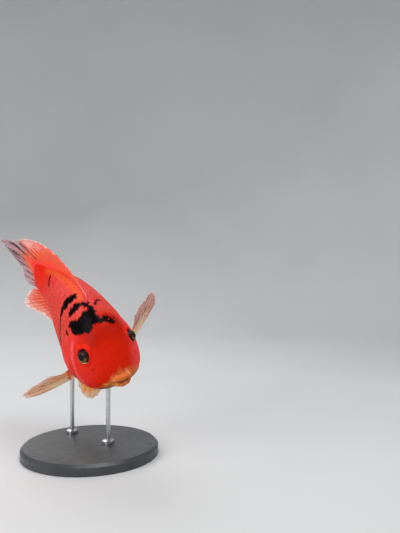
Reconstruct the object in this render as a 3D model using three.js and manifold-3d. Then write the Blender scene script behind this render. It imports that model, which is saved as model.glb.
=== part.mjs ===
// Blood parrot cichlid: a still, life-size model of the living fish, held on a display stand.
// Millimetres, +Z up, and the origin is the middle of the stand's underside.
//
// The fish is made straight first. A place on it is [at, side, up]: "at" counts back from the
// snout along the axis, "side" is positive to the fish's left, and "up" is positive towards its
// back. Then the tail half is bent along the spine, and the whole fish is turned into its pose.

import * as THREE from 'three';
import { mergeVertices } from 'three/addons/utils/BufferGeometryUtils.js';
import Module from 'manifold-3d';

const wasm = await Module();
wasm.setup();

// Driving dimensions of the fish

const STANDARD_LENGTH = 150;
const HEAD_END = 50.5;
const TORSO_END = 121;
const SNOUT_CAP = 1;
const TAIL_CAP = 1.2;

// The gaps that part the flesh, and those round the roots of the fins.
const GAP = 0.3;
const FIN_GAP = 0.35;

// Cutting blocks reach this far, clear of the fish.
const BEYOND_WIDTH = 120;
const BEYOND_HEIGHT = 160;
const BEYOND_ENDS = 20;
const BEYOND_JAW = 40;

// Sections of the body: height of the back and depth of the belly from the axis, half the
// width, and the level at which the section is widest.
const SECTIONS = [
  { at: 0, back: 2.2, belly: -3.2, half: 5.4, level: -0.6 },
  { at: 3, back: 8.4, belly: -9.6, half: 12.0, level: -1.6 },
  { at: 10, back: 17.4, belly: -19.4, half: 20.6, level: -3.4 },
  { at: 20, back: 27.2, belly: -28.0, half: 26.4, level: -5.2 },
  { at: 32, back: 34.4, belly: -33.4, half: 29.6, level: -6.0 },
  { at: 48, back: 39.8, belly: -36.6, half: 31.0, level: -5.6 },
  { at: 70, back: 42.1, belly: -37.0, half: 27.8, level: -2.6 },
  { at: 90, back: 40.4, belly: -33.6, half: 23.8, level: -0.2 },
  { at: 112, back: 34.6, belly: -25.4, half: 17.0, level: 2.0 },
  { at: 132, back: 26.4, belly: -17.2, half: 9.8, level: 3.4 },
  { at: 150, back: 21.6, belly: -14.2, half: 3.6, level: 4.0 },
];

// A section is a superellipse: a rounder back on the head, a keeled back on the trunk.
const HEAD_BACK_POWER = 1.9;
const TRUNK_BACK_POWER = 1.55;
const POWER_FROM = 18;
const POWER_TO = 55;
const BELLY_POWER = 2.5;
const BODY_RINGS = 38;
const BODY_SIDES = 36;
const RING_CROWDING = 1.4;

// The bend of the spine, from behind the belly to the tail, and how far it runs on in the fin.
const BEND_FROM = 70;
const BEND_LENGTH = 80;
const BEND_RUN_ON = 1.6;
const BEND_TO_RIGHT = 0.407;
const BEND_UP = 0.138;
const BEND_ROLL = -0.022;

// The pose: turned to the viewer's right, nose down, and rolled with its left side up.
const HEADING = THREE.MathUtils.degToRad(-49.35);
const DIVE = THREE.MathUtils.degToRad(33.73);
const ROLL = THREE.MathUtils.degToRad(24.54);
const SNOUT = new THREE.Vector3(34, -39.5, 73.8);

// The face

const EYE = { at: 25.2, up: 15.2, radius: 7.0, sunk: 3.9, socket: 7.35 };
const EYE_RIM = { radius: 6.5, tube: 1.15, steps: 20 };
const NOSTRIL = { at: 13.6, up: 8.6, radius: 1.0 };
const NOSTRIL_RIM = { radius: 1.35, tube: 0.5, steps: 10 };
const RIM_TUBE_SIDES = 6;
const UPPER_LIP = {
  front: [-1.4, 0, 2.2],
  corner: [7.2, 8.8, -1.9],
  thick: 2.5,
  thin: 1.5,
};
const LOWER_LIP = {
  front: [-1.0, 0, -5.0],
  corner: [7.4, 8.4, -3.9],
  thick: 2.8,
  thin: 1.5,
};
const LIP_SIDES = 9;
const LIP_STEPS = 12;
// Between its front and its corner a lip bends at these shares of the way back and sideways.
const LIP_BEND_BACK = 0.28;
const LIP_BEND_SIDE = 0.66;
const MOUTH = { at: 0.5, up: -1.35, long: 6.5, wide: 6.2, high: 0.95 };
const JAW_SLIT = [
  [-12, -1.35],
  [6.5, -2.8],
  [12.5, -6.5],
  [19, -14],
  [20.5, -22],
  [19, -40],
  [-12, -40],
];

// The gill covers: outline seen from the side, raised above the body like real ones.
const COVER_OUTLINE = [
  [35.5, 13],
  [44.5, 12.5],
  [51.5, 5.5],
  [53.6, -3],
  [49.5, -13],
  [43.5, -21],
  [36.5, -25],
  [31.5, -20],
  [31.8, -7],
  [33.5, 6],
];
const COVER_RAISE = 1.0;
const COVER_DEPTH = 1.3;
const COVER_REACH = [9, 60];
const COVER_POINTS = 30;

// How finely balls are faceted: steps around, and steps from pole to pole.
const EYE_FACETS = [20, 12];
const SOCKET_FACETS = [18, 12];
const NOSTRIL_FACETS = [10, 8];

// Steps over which slopes are measured, in millimetres on the flank and as a share of a fin.
const FLANK_STEP = 0.5;
const FIN_STEP = 0.01;
const MERGE_DISTANCE = 1e-4;

// Helpers for numbers and curves

function smoothstep(from, to, value) {
  const part = Math.min(Math.max((value - from) / (to - from), 0), 1);
  return part * part * (3 - 2 * part);
}

// A smooth curve through points that never overshoots them.
function curveThrough(places, values) {
  const count = places.length;
  const slopes = [];
  for (let i = 0; i < count - 1; i += 1) {
    slopes.push((values[i + 1] - values[i]) / (places[i + 1] - places[i]));
  }
  const tangents = [slopes[0]];
  for (let i = 1; i < count - 1; i += 1) {
    const before = slopes[i - 1];
    const after = slopes[i];
    tangents.push(before * after <= 0 ? 0 : (2 * before * after) / (before + after));
  }
  tangents.push(slopes[count - 2]);
  return (place) => {
    const inside = Math.min(Math.max(place, places[0]), places[count - 1]);
    let i = 0;
    while (i < count - 2 && inside > places[i + 1]) i += 1;
    const span = places[i + 1] - places[i];
    const t = (inside - places[i]) / span;
    const t2 = t * t;
    const t3 = t2 * t;
    return (
      (2 * t3 - 3 * t2 + 1) * values[i] +
      (t3 - 2 * t2 + t) * span * tangents[i] +
      (3 * t2 - 2 * t3) * values[i + 1] +
      (t3 - t2) * span * tangents[i + 1]
    );
  };
}

const STATIONS = SECTIONS.map((section) => section.at);
const backAt = curveThrough(STATIONS, SECTIONS.map((section) => section.back));
const bellyAt = curveThrough(STATIONS, SECTIONS.map((section) => section.belly));
const halfAt = curveThrough(STATIONS, SECTIONS.map((section) => section.half));
const levelAt = curveThrough(STATIONS, SECTIONS.map((section) => section.level));

function backPowerAt(at) {
  const share = smoothstep(POWER_FROM, POWER_TO, at);
  return HEAD_BACK_POWER * (1 - share) + TRUNK_BACK_POWER * share;
}

function signedPower(value, power) {
  return Math.sign(value) * Math.abs(value) ** power;
}

// A point on the skin of the straight fish; angle 0 is its left, a quarter turn its back.
function skinPoint(at, angle, raise = 0) {
  const cos = Math.cos(angle);
  const sin = Math.sin(angle);
  const level = levelAt(at);
  const power = sin >= 0 ? backPowerAt(at) : BELLY_POWER;
  const reach = sin >= 0 ? backAt(at) - level : level - bellyAt(at);
  return new THREE.Vector3(
    -at,
    (halfAt(at) + raise) * signedPower(cos, 2 / power),
    level + (reach + raise) * signedPower(sin, 2 / power),
  );
}

// How far the flank lies from the middle at one place in the side view.
function flankAt(at, up) {
  const level = levelAt(at);
  const power = up >= level ? backPowerAt(at) : BELLY_POWER;
  const reach = up >= level ? backAt(at) - level : level - bellyAt(at);
  const share = Math.min(Math.abs((up - level) / reach), 1);
  return halfAt(at) * (1 - share ** power) ** (1 / power);
}

// The outward direction of the flank at one place in the side view.
function flankNormal(at, up, side) {
  const point = (a, u) => new THREE.Vector3(-a, side * flankAt(a, u), u);
  const along = point(at + FLANK_STEP, up).sub(point(at - FLANK_STEP, up));
  const across = point(at, up + FLANK_STEP).sub(point(at, up - FLANK_STEP));
  const normal = along.cross(across).normalize();
  return normal.y * side < 0 ? normal.negate() : normal;
}

// Helpers for closed meshes

function geometryFrom(points, triangles) {
  const geometry = new THREE.BufferGeometry();
  geometry.setAttribute('position', new THREE.Float32BufferAttribute(points, 3));
  geometry.setIndex(triangles);
  return geometry;
}

function solidFrom(geometry) {
  const bare = geometry.clone();
  bare.deleteAttribute('normal');
  bare.deleteAttribute('uv');
  const merged = mergeVertices(bare, MERGE_DISTANCE);
  return new wasm.Manifold(
    new wasm.Mesh({
      numProp: 3,
      vertProperties: new Float32Array(merged.attributes.position.array),
      triVerts: new Uint32Array(merged.index.array),
    }),
  );
}

function geometryOf(solid) {
  const mesh = solid.getMesh();
  const points = [];
  for (let i = 0; i < mesh.vertProperties.length; i += mesh.numProp) {
    points.push(...mesh.vertProperties.slice(i, i + 3));
  }
  return geometryFrom(points, Array.from(mesh.triVerts));
}

// A cut can leave scraps, and a part keeps only its largest closed surface.
function largest(solid) {
  const pieces = solid.decompose();
  pieces.sort((a, b) => b.volume() - a.volume());
  return pieces[0];
}

// Rings of equally many points, joined side by side and closed with a point at each end.
function closedTube(rings, firstEnd, lastEnd) {
  const sides = rings[0].length;
  const points = [];
  for (const ring of rings) {
    for (const point of ring) points.push(point.x, point.y, point.z);
  }
  const first = rings.length * sides;
  const last = first + 1;
  points.push(firstEnd.x, firstEnd.y, firstEnd.z);
  points.push(lastEnd.x, lastEnd.y, lastEnd.z);
  const triangles = [];
  for (let side = 0; side < sides; side += 1) {
    const next = (side + 1) % sides;
    triangles.push(first, next, side);
    for (let ring = 0; ring < rings.length - 1; ring += 1) {
      const a = ring * sides + side;
      const b = ring * sides + next;
      triangles.push(a, b, b + sides);
      triangles.push(a, b + sides, a + sides);
    }
    const end = (rings.length - 1) * sides;
    triangles.push(last, end + side, end + next);
  }
  return geometryFrom(points, triangles);
}

// The whole body as one closed skin, drawn in or out by "raise".
function bodyGeometry(raise = 0) {
  const rings = [];
  for (let i = 0; i < BODY_RINGS; i += 1) {
    const at = STANDARD_LENGTH * (i / (BODY_RINGS - 1)) ** RING_CROWDING;
    const shift = raise * (2 * (at / STANDARD_LENGTH) - 1);
    const ring = [];
    for (let side = 0; side < BODY_SIDES; side += 1) {
      const point = skinPoint(at, (-2 * Math.PI * side) / BODY_SIDES, raise);
      point.x -= shift;
      ring.push(point);
    }
    rings.push(ring);
  }
  const snout = new THREE.Vector3(SNOUT_CAP + raise, 0, levelAt(0));
  const stalk = new THREE.Vector3(-STANDARD_LENGTH - TAIL_CAP - raise, 0, levelAt(STANDARD_LENGTH));
  return closedTube(rings, snout, stalk);
}

// A rounded bar that follows a curve and grows thinner to its ends.
function taperedBar(curve, thick, thin, steps, sides) {
  const frames = curve.computeFrenetFrames(steps, false);
  const rings = [];
  for (let i = 0; i <= steps; i += 1) {
    const t = i / steps;
    const centre = curve.getPointAt(t);
    const radius = thin + (thick - thin) * Math.sin(Math.PI * t);
    const ring = [];
    for (let side = 0; side < sides; side += 1) {
      const angle = (2 * Math.PI * side) / sides;
      const offset = frames.normals[i].clone().multiplyScalar(Math.cos(angle));
      offset.addScaledVector(frames.binormals[i], Math.sin(angle));
      ring.push(centre.clone().addScaledVector(offset, radius));
    }
    rings.push(ring);
  }
  return closedTube(rings, curve.getPointAt(0), curve.getPointAt(1));
}

// A side-view outline of [at, up] points, pushed out sideways between two distances.
function sidePrism(outline, side, [near, far]) {
  const shape = new THREE.Shape(outline.map(([at, up]) => new THREE.Vector2(-at, up)));
  const geometry = new THREE.ExtrudeGeometry(shape, { depth: far - near, bevelEnabled: false });
  geometry.rotateX(Math.PI / 2);
  geometry.translate(0, side > 0 ? far : -near, 0);
  return solidFrom(geometry);
}

// The same outline with every corner moved outwards.
function grownOutline(outline, distance) {
  const turn = outline.reduce((sum, [at, up], i) => {
    const [nextAt, nextUp] = outline[(i + 1) % outline.length];
    return sum + at * nextUp - nextAt * up;
  }, 0);
  return outline.map(([at, up], i) => {
    const before = outline[(i + outline.length - 1) % outline.length];
    const after = outline[(i + 1) % outline.length];
    const along = new THREE.Vector2(after[0] - before[0], after[1] - before[1]).normalize();
    const out = Math.sign(turn) * distance;
    return [at + along.y * out, up - along.x * out];
  });
}

function smoothOutline(corners, pointCount) {
  const curve = new THREE.CatmullRomCurve3(
    corners.map(([at, up]) => new THREE.Vector3(at, up, 0)),
    true,
    'centripetal',
  );
  const points = curve.getPoints(pointCount).slice(0, pointCount);
  return points.map((point) => [point.x, point.y]);
}

// A block between two distances from the snout, wider and higher than the fish.
function slab(from, to) {
  const geometry = new THREE.BoxGeometry(to - from, BEYOND_WIDTH, BEYOND_HEIGHT);
  geometry.translate(-(from + to) / 2, 0, 0);
  return solidFrom(geometry);
}

// The pose of the fish

const spine = [];
const SPINE_STEP = 1;
const SPINE_FROM = -30;
const SPINE_TO = 240;

function spineTurn(at) {
  const share = Math.min(Math.max((at - BEND_FROM) / BEND_LENGTH, 0), BEND_RUN_ON);
  return { yaw: share * BEND_TO_RIGHT, lift: share * BEND_UP, roll: share * BEND_ROLL };
}

function spineForward(at) {
  const { yaw, lift } = spineTurn(at);
  const flat = Math.cos(lift);
  return new THREE.Vector3(Math.cos(yaw) * flat, Math.sin(yaw) * flat, -Math.sin(lift));
}

function buildSpine() {
  const place = new THREE.Vector3(-SPINE_FROM, 0, 0);
  for (let at = SPINE_FROM; at <= SPINE_TO; at += SPINE_STEP) {
    spine.push(place.clone());
    place.addScaledVector(spineForward(at + SPINE_STEP / 2), -SPINE_STEP);
  }
}

buildSpine();

// Moves a point of the straight fish to its place on the bent one.
function bendPoint(point) {
  const at = -point.x;
  const position = (at - SPINE_FROM) / SPINE_STEP;
  const index = Math.min(Math.max(Math.floor(position), 0), spine.length - 2);
  const centre = spine[index].clone().lerp(spine[index + 1], position - index);
  const forward = spineForward(at);
  const { yaw, roll } = spineTurn(at);
  const left = new THREE.Vector3(-Math.sin(yaw), Math.cos(yaw), 0);
  const up = new THREE.Vector3().crossVectors(forward, left);
  const rolledLeft = left.clone().multiplyScalar(Math.cos(roll));
  rolledLeft.addScaledVector(up, Math.sin(roll));
  const rolledUp = up.clone().multiplyScalar(Math.cos(roll));
  rolledUp.addScaledVector(left, -Math.sin(roll));
  return centre.addScaledVector(rolledLeft, point.y).addScaledVector(rolledUp, point.z);
}

function bent(geometry) {
  const result = geometry.clone();
  const positions = result.attributes.position;
  const point = new THREE.Vector3();
  for (let i = 0; i < positions.count; i += 1) {
    point.fromBufferAttribute(positions, i);
    const moved = bendPoint(point);
    positions.setXYZ(i, moved.x, moved.y, moved.z);
  }
  return result;
}

// The scene graph

const group = new THREE.Group();
const fish = new THREE.Group();
fish.rotation.set(ROLL, DIVE, HEADING, 'ZYX');
fish.position.copy(SNOUT);
group.add(fish);

function addMesh(parent, name, geometry, look) {
  const drawn = geometry.toNonIndexed();
  drawn.computeVertexNormals();
  const mesh = new THREE.Mesh(drawn, new THREE.MeshStandardMaterial({ ...look, name }));
  mesh.name = name;
  parent.add(mesh);
}

const RED_SKIN = { color: 0xd8301c, roughness: 0.42, metalness: 0 };
const ORANGE_FIN = { color: 0xf06030, roughness: 0.5, metalness: 0 };
const PALE_FIN = { color: 0xd89a84, roughness: 0.5, metalness: 0 };
const GREY_FIN = { color: 0x9a7f88, roughness: 0.5, metalness: 0 };
const DARK_EYE = { color: 0x18140c, roughness: 0.08, metalness: 0 };
const BASE_PAINT = { color: 0x2b2d30, roughness: 0.5, metalness: 0 };
const ROD_STEEL = { color: 0xb9bcc0, roughness: 0.28, metalness: 1 };

const SIDES = [
  { name: 'left', sign: 1 },
  { name: 'right', sign: -1 },
];

// Flesh: one body that is then parted

function lipCurve(lip) {
  const [frontAt, , frontUp] = lip.front;
  const [cornerAt, cornerSide, cornerUp] = lip.corner;
  const front = new THREE.Vector3(-frontAt, 0, frontUp);
  const corner = (sign) => new THREE.Vector3(-cornerAt, sign * cornerSide, cornerUp);
  const cheek = (sign) => {
    const point = front.clone().lerp(corner(sign), LIP_BEND_BACK);
    point.y = sign * cornerSide * LIP_BEND_SIDE;
    return point;
  };
  return new THREE.CatmullRomCurve3([corner(1), cheek(1), front, cheek(-1), corner(-1)]);
}

function lipSolid(lip) {
  return solidFrom(taperedBar(lipCurve(lip), lip.thick, lip.thin, LIP_STEPS, LIP_SIDES));
}

// A ball, or an egg shape where it is given three half lengths instead of one radius.
function ballSolid(size, centre, facets) {
  const geometry = new THREE.SphereGeometry(1, ...facets);
  geometry.scale(...(Array.isArray(size) ? size : [size, size, size]));
  geometry.translate(centre.x, centre.y, centre.z);
  return solidFrom(geometry);
}

function onFlank({ at, up }, side) {
  return new THREE.Vector3(-at, side * flankAt(at, up), up);
}

// A ring that lies on the flank, facing outwards.
function flankRing({ at, up }, side, { radius, tube, steps }) {
  const geometry = new THREE.TorusGeometry(radius, tube, RIM_TUBE_SIDES, steps);
  const normal = flankNormal(at, up, side);
  const facing = new THREE.Quaternion().setFromUnitVectors(new THREE.Vector3(0, 0, 1), normal);
  geometry.applyQuaternion(facing);
  const place = onFlank({ at, up }, side);
  geometry.translate(place.x, place.y, place.z);
  return solidFrom(geometry);
}

function eyeCentre(side) {
  return onFlank(EYE, side).addScaledVector(flankNormal(EYE.at, EYE.up, side), -EYE.sunk);
}

function faceDetails(body) {
  let face = body.add(lipSolid(UPPER_LIP)).add(lipSolid(LOWER_LIP));
  for (const { sign } of SIDES) {
    face = face.add(flankRing(EYE, sign, EYE_RIM));
    face = face.add(flankRing(NOSTRIL, sign, NOSTRIL_RIM));
    face = face.subtract(ballSolid(EYE.socket, eyeCentre(sign), SOCKET_FACETS));
    face = face.subtract(ballSolid(NOSTRIL.radius, onFlank(NOSTRIL, sign), NOSTRIL_FACETS));
  }
  const mouth = new THREE.Vector3(-MOUTH.at, 0, MOUTH.up);
  return face.subtract(ballSolid([MOUTH.long, MOUTH.wide, MOUTH.high], mouth, SOCKET_FACETS));
}

const plainBody = solidFrom(bodyGeometry());
const bodyWithGap = solidFrom(bodyGeometry(FIN_GAP));
const coverTop = solidFrom(bodyGeometry(COVER_RAISE));
const coverUnder = solidFrom(bodyGeometry(-COVER_DEPTH));
const coverBed = solidFrom(bodyGeometry(-COVER_DEPTH - GAP));
const coverOutline = smoothOutline(COVER_OUTLINE, COVER_POINTS);

function coverSolid(sign) {
  const prism = sidePrism(coverOutline, sign, COVER_REACH);
  return largest(coverTop.subtract(coverUnder).intersect(prism));
}

function coverRecess(sign) {
  const prism = sidePrism(grownOutline(coverOutline, GAP), sign, COVER_REACH);
  return prism.subtract(coverBed);
}

function partFlesh() {
  let flesh = faceDetails(plainBody);
  for (const { name, sign } of SIDES) {
    addMesh(fish, `gill_cover_${name}`, bent(geometryOf(coverSolid(sign))), RED_SKIN);
    flesh = flesh.subtract(coverRecess(sign));
  }
  const jawPrism = sidePrism(JAW_SLIT, 1, [-BEYOND_JAW, BEYOND_JAW]);
  const jawRoom = sidePrism(grownOutline(JAW_SLIT, GAP), 1, [-BEYOND_JAW - GAP, BEYOND_JAW + GAP]);
  const jaw = largest(flesh.intersect(jawPrism));
  const head = largest(flesh.intersect(slab(-BEYOND_ENDS, HEAD_END - GAP / 2)).subtract(jawRoom));
  const torso = largest(flesh.intersect(slab(HEAD_END + GAP / 2, TORSO_END - GAP / 2)));
  const stalk = largest(flesh.intersect(slab(TORSO_END + GAP / 2, STANDARD_LENGTH + BEYOND_ENDS)));
  addMesh(fish, 'lower_jaw', bent(geometryOf(jaw)), RED_SKIN);
  addMesh(fish, 'head', bent(geometryOf(head)), RED_SKIN);
  addMesh(fish, 'torso', bent(geometryOf(torso)), RED_SKIN);
  addMesh(fish, 'tail_stalk', bent(geometryOf(stalk)), RED_SKIN);
}

function addEyes() {
  for (const { name, sign } of SIDES) {
    const ball = ballSolid(EYE.radius, eyeCentre(sign), EYE_FACETS);
    addMesh(fish, `eye_${name}`, bent(geometryOf(ball)), DARK_EYE);
  }
}

// Fins: a membrane with raised rays. Each fin has a root line inside the body and a margin
// line; both are given from its leading ray to its last one.

const PELVIC_FIN = {
  rays: 7,
  rows: 4,
  root: [
    [52.5, 6.8, -32.4],
    [59.5, 5.6, -32.8],
  ],
  margin: [
    [42.2, 6, -60.5],
    [43.4, 10, -67.6],
    [46.8, 15, -72],
    [52.6, 18.4, -73],
    [60.5, 20, -69.5],
    [66.5, 19.4, -60],
  ],
  bow: [
    [-1.5, 0, 0],
    [1, 0, 0],
  ],
  ray: 1.2,
  tip: 0.6,
  web: 0.55,
  notch: 0.04,
  look: ORANGE_FIN,
};

// The same fin on the other side of the fish.
function mirrored(fin) {
  const across = (places) => places.map(([at, side, up]) => [at, -side, up]);
  return { ...fin, root: across(fin.root), margin: across(fin.margin), bow: across(fin.bow) };
}

const FINS = {
  dorsal_fin: {
    rays: 22,
    rows: 5,
    root: [
      [57, 0, 37.4],
      [85, 0, 37.6],
      [115, 0, 30.2],
      [143, 0, 20.6],
    ],
    margin: [
      [61, 0.3, 43.2],
      [76, 1, 43.8],
      [92, 2, 44.4],
      [108, 3, 45],
      [124, 4, 45.4],
      [140, 4.5, 44.2],
      [156, 4.6, 41.2],
      [169, 4, 36.6],
      [177, 3.4, 29.6],
      [168, 3, 27.4],
      [157, 2, 25.8],
    ],
    bow: [
      [-2, 0, 2],
      [-2, 0, 2],
    ],
    ray: 1.3,
    tip: 0.7,
    web: 0.6,
    notch: 0.05,
    look: ORANGE_FIN,
  },
  anal_fin: {
    rays: 15,
    rows: 5,
    root: [
      [101, 0, -26.4],
      [120, 0, -18.8],
      [142, 0, -12.2],
    ],
    margin: [
      [104, -1.6, -34.6],
      [113, -3, -41],
      [126, -4.6, -44.4],
      [140, -5.2, -43.4],
      [153, -5, -45],
      [163, -4.6, -47.4],
      [165.5, -4.2, -42.6],
      [162, -3, -29],
      [156, -1.2, -17],
    ],
    bow: [
      [-2, 0, -2],
      [-2, 0, -2],
    ],
    ray: 1.2,
    tip: 0.7,
    web: 0.6,
    notch: 0.05,
    look: ORANGE_FIN,
  },
  caudal_fin: {
    rays: 17,
    rows: 6,
    root: [
      [147, 0, 19.4],
      [148.5, 0, 4],
      [147, 0, -12],
    ],
    margin: [
      [176, -1.4, 31.4],
      [195, 0.2, 24],
      [190.5, 3.6, 12.6],
      [184.5, 7.4, -0.5],
      [179.5, 12, -13],
      [179.5, 14.8, -26],
      [177.5, 15.6, -35],
      [168, 13, -35],
    ],
    bow: [
      [0, -0.4, 1],
      [0, 1.4, -1],
    ],
    ray: 1.2,
    tip: 0.6,
    web: 0.55,
    notch: 0.03,
    look: GREY_FIN,
  },
  pectoral_fin_left: {
    rays: 12,
    rows: 5,
    root: [
      [49, 24, -29],
      [51.5, 25.6, -17],
    ],
    margin: [
      [64.3, 67.2, -1.2],
      [67.6, 69.6, 5.8],
      [68.6, 68.1, 9.6],
      [67.9, 64.1, 11],
      [65.1, 57.7, 8.8],
      [62, 48.5, 4.5],
      [58.6, 41.8, 0],
    ],
    bow: [
      [-2, 2.6, -3],
      [1.5, 2, -2.5],
    ],
    ray: 1.1,
    tip: 0.55,
    web: 0.5,
    notch: 0.03,
    look: PALE_FIN,
  },
  pectoral_fin_right: {
    rays: 12,
    rows: 5,
    root: [
      [48.5, -19, -32.4],
      [51.5, -25.4, -20],
    ],
    margin: [
      [60.2, -62.1, -49.5],
      [62.8, -70.3, -49.2],
      [64.7, -72, -46.9],
      [63.2, -69.8, -42.4],
      [60.5, -63.2, -36.2],
      [56.8, -54.3, -29.5],
      [53.5, -45.5, -23.9],
    ],
    bow: [
      [-1, -1.5, -3],
      [1.5, 0, -3.5],
    ],
    ray: 1.1,
    tip: 0.55,
    web: 0.5,
    notch: 0.03,
    look: PALE_FIN,
  },
  pelvic_fin_left: PELVIC_FIN,
  pelvic_fin_right: mirrored(PELVIC_FIN),
};

function placeOnFish([at, side, up]) {
  return new THREE.Vector3(-at, side, up);
}

function curveOf(places) {
  return new THREE.CatmullRomCurve3(places.map(placeOnFish), false, 'centripetal');
}

// The middle sheet of a fin: "along" runs from its leading ray to its last, "out" from the root.
function finSheet(fin) {
  const root = curveOf(fin.root);
  const margin = curveOf(fin.margin);
  const firstBow = placeOnFish(fin.bow[0]);
  const lastBow = placeOnFish(fin.bow[1]);
  return (along, out) => {
    const point = root.getPointAt(along).lerp(margin.getPointAt(along), out);
    const bow = firstBow.clone().lerp(lastBow, along);
    return point.addScaledVector(bow, 4 * out * (1 - out));
  };
}

function sheetNormal(sheet, along, out) {
  const low = (share) => Math.max(share - FIN_STEP, 0);
  const high = (share) => Math.min(share + FIN_STEP, 1);
  const across = sheet(high(along), out).sub(sheet(low(along), out));
  const outward = sheet(along, high(out)).sub(sheet(along, low(out)));
  return across.cross(outward).normalize();
}

// Both faces have the same triangles, and every second column is the crest of a ray.
function finGeometry(fin) {
  const sheet = finSheet(fin);
  const columns = 2 * fin.rays - 1;
  const rows = fin.rows + 1;
  const points = [];
  for (const face of [1, -1]) {
    for (let column = 0; column < columns; column += 1) {
      const along = column / (columns - 1);
      const crest = column % 2 === 0;
      const reach = crest ? 1 : 1 - fin.notch;
      for (let row = 0; row < rows; row += 1) {
        const out = (reach * row) / (rows - 1);
        const full = crest ? fin.ray + (fin.tip - fin.ray) * out : fin.web;
        const normal = sheetNormal(sheet, along, out);
        const point = sheet(along, out).addScaledVector(normal, (face * full) / 2);
        points.push(point.x, point.y, point.z);
      }
    }
  }
  const other = columns * rows;
  const triangles = [];
  const addQuad = (a, b, c, d) => triangles.push(a, b, c, a, c, d);
  for (let column = 0; column < columns - 1; column += 1) {
    for (let row = 0; row < rows - 1; row += 1) {
      const a = column * rows + row;
      const b = a + rows;
      triangles.push(a, b, b + 1, a, b + 1, a + 1);
      triangles.push(other + a, other + b + 1, other + b);
      triangles.push(other + a, other + a + 1, other + b + 1);
    }
    const inner = column * rows;
    const outer = inner + rows - 1;
    addQuad(inner, other + inner, other + inner + rows, inner + rows);
    addQuad(outer, outer + rows, other + outer + rows, other + outer);
  }
  for (let row = 0; row < rows - 1; row += 1) {
    const last = (columns - 1) * rows + row;
    addQuad(row, row + 1, other + row + 1, other + row);
    addQuad(last, other + last, other + last + 1, last + 1);
  }
  return geometryFrom(points, triangles);
}

function addFins() {
  for (const [name, fin] of Object.entries(FINS)) {
    const sheet = solidFrom(finGeometry(fin));
    const free = largest(sheet.subtract(bodyWithGap));
    addMesh(fish, name, bent(geometryOf(free)), fin.look);
  }
}

// The stand: a round base and two rods up to the belly

const BASE = { radius: 60, thick: 9, bevel: 2.2, sides: 48 };
const ROD = { radius: 2, foot: 5.5, footHigh: 2.4, flare: 0.8, sides: 16, reach: 110 };
const RODS = {
  stand_rod_front: [16, -2],
  stand_rod_rear: [-23, 31],
};

function latheUp(profile, sides) {
  const geometry = new THREE.LatheGeometry(
    profile.map(([radius, up]) => new THREE.Vector2(radius, up)),
    sides,
  );
  return geometry.rotateX(Math.PI / 2);
}

function baseGeometry() {
  const { radius, thick, bevel, sides } = BASE;
  return latheUp(
    [
      [0, 0],
      [radius, 0],
      [radius, thick - bevel],
      [radius - bevel, thick],
      [0, thick],
    ],
    sides,
  );
}

function rodGeometry([x, y]) {
  const { radius, foot, footHigh, flare, sides, reach } = ROD;
  const geometry = latheUp(
    [
      [0, 0],
      [foot, 0],
      [foot, footHigh],
      [radius, footHigh + flare],
      [radius, reach],
      [0, reach],
    ],
    sides,
  );
  return geometry.translate(x, y, BASE.thick + GAP);
}

function addStand() {
  addMesh(group, 'stand_base', geometryOf(solidFrom(baseGeometry())), BASE_PAINT);
  fish.updateMatrix();
  const posed = bent(bodyGeometry(FIN_GAP)).applyMatrix4(fish.matrix);
  const body = solidFrom(posed);
  for (const [name, foot] of Object.entries(RODS)) {
    const rod = solidFrom(rodGeometry(foot)).subtract(body);
    const lowest = rod.decompose().sort((a, b) => a.boundingBox().min[2] - b.boundingBox().min[2]);
    addMesh(group, name, geometryOf(lowest[0]), ROD_STEEL);
  }
}

partFlesh();
addEyes();
addFins();
addStand();

export default group;
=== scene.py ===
"""Blood parrot cichlid: the looks of the still, life-size model on its stand.

Shapes are worked out in millimetres on the straight fish, as [at, side, up]: "at" counts back
from the snout, "side" is positive to the fish's left and "up" towards its back. to_world then
bends the spine, turns the fish into its pose and gives metres in the frame of the solids.
"""

import math

import bpy
import numpy as np
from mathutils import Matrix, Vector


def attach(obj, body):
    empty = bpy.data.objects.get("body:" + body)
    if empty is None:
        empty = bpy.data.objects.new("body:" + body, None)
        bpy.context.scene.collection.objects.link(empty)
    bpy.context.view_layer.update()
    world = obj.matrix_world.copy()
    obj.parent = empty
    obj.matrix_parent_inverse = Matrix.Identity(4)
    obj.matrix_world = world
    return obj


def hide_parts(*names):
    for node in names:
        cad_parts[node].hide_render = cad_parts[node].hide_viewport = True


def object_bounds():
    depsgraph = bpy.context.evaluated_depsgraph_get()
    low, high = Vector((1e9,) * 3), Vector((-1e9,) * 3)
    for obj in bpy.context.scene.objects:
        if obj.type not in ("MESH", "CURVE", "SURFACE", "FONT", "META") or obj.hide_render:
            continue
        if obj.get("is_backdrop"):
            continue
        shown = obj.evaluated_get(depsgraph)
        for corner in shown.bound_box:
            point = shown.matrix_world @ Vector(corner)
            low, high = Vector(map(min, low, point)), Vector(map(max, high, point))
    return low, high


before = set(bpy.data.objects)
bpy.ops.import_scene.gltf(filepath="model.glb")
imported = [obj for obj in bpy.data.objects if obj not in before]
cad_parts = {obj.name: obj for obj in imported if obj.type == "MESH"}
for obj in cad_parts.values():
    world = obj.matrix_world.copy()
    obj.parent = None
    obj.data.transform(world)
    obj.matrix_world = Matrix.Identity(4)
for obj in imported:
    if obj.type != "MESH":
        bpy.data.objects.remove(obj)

CAD_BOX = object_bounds()
MM = 0.001
RNG = np.random.default_rng(7)

# The body, as in the solids: height of the back, depth of the belly, half the width, and the
# level where a section is widest, at each distance from the snout. The powers round its parts.

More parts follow.
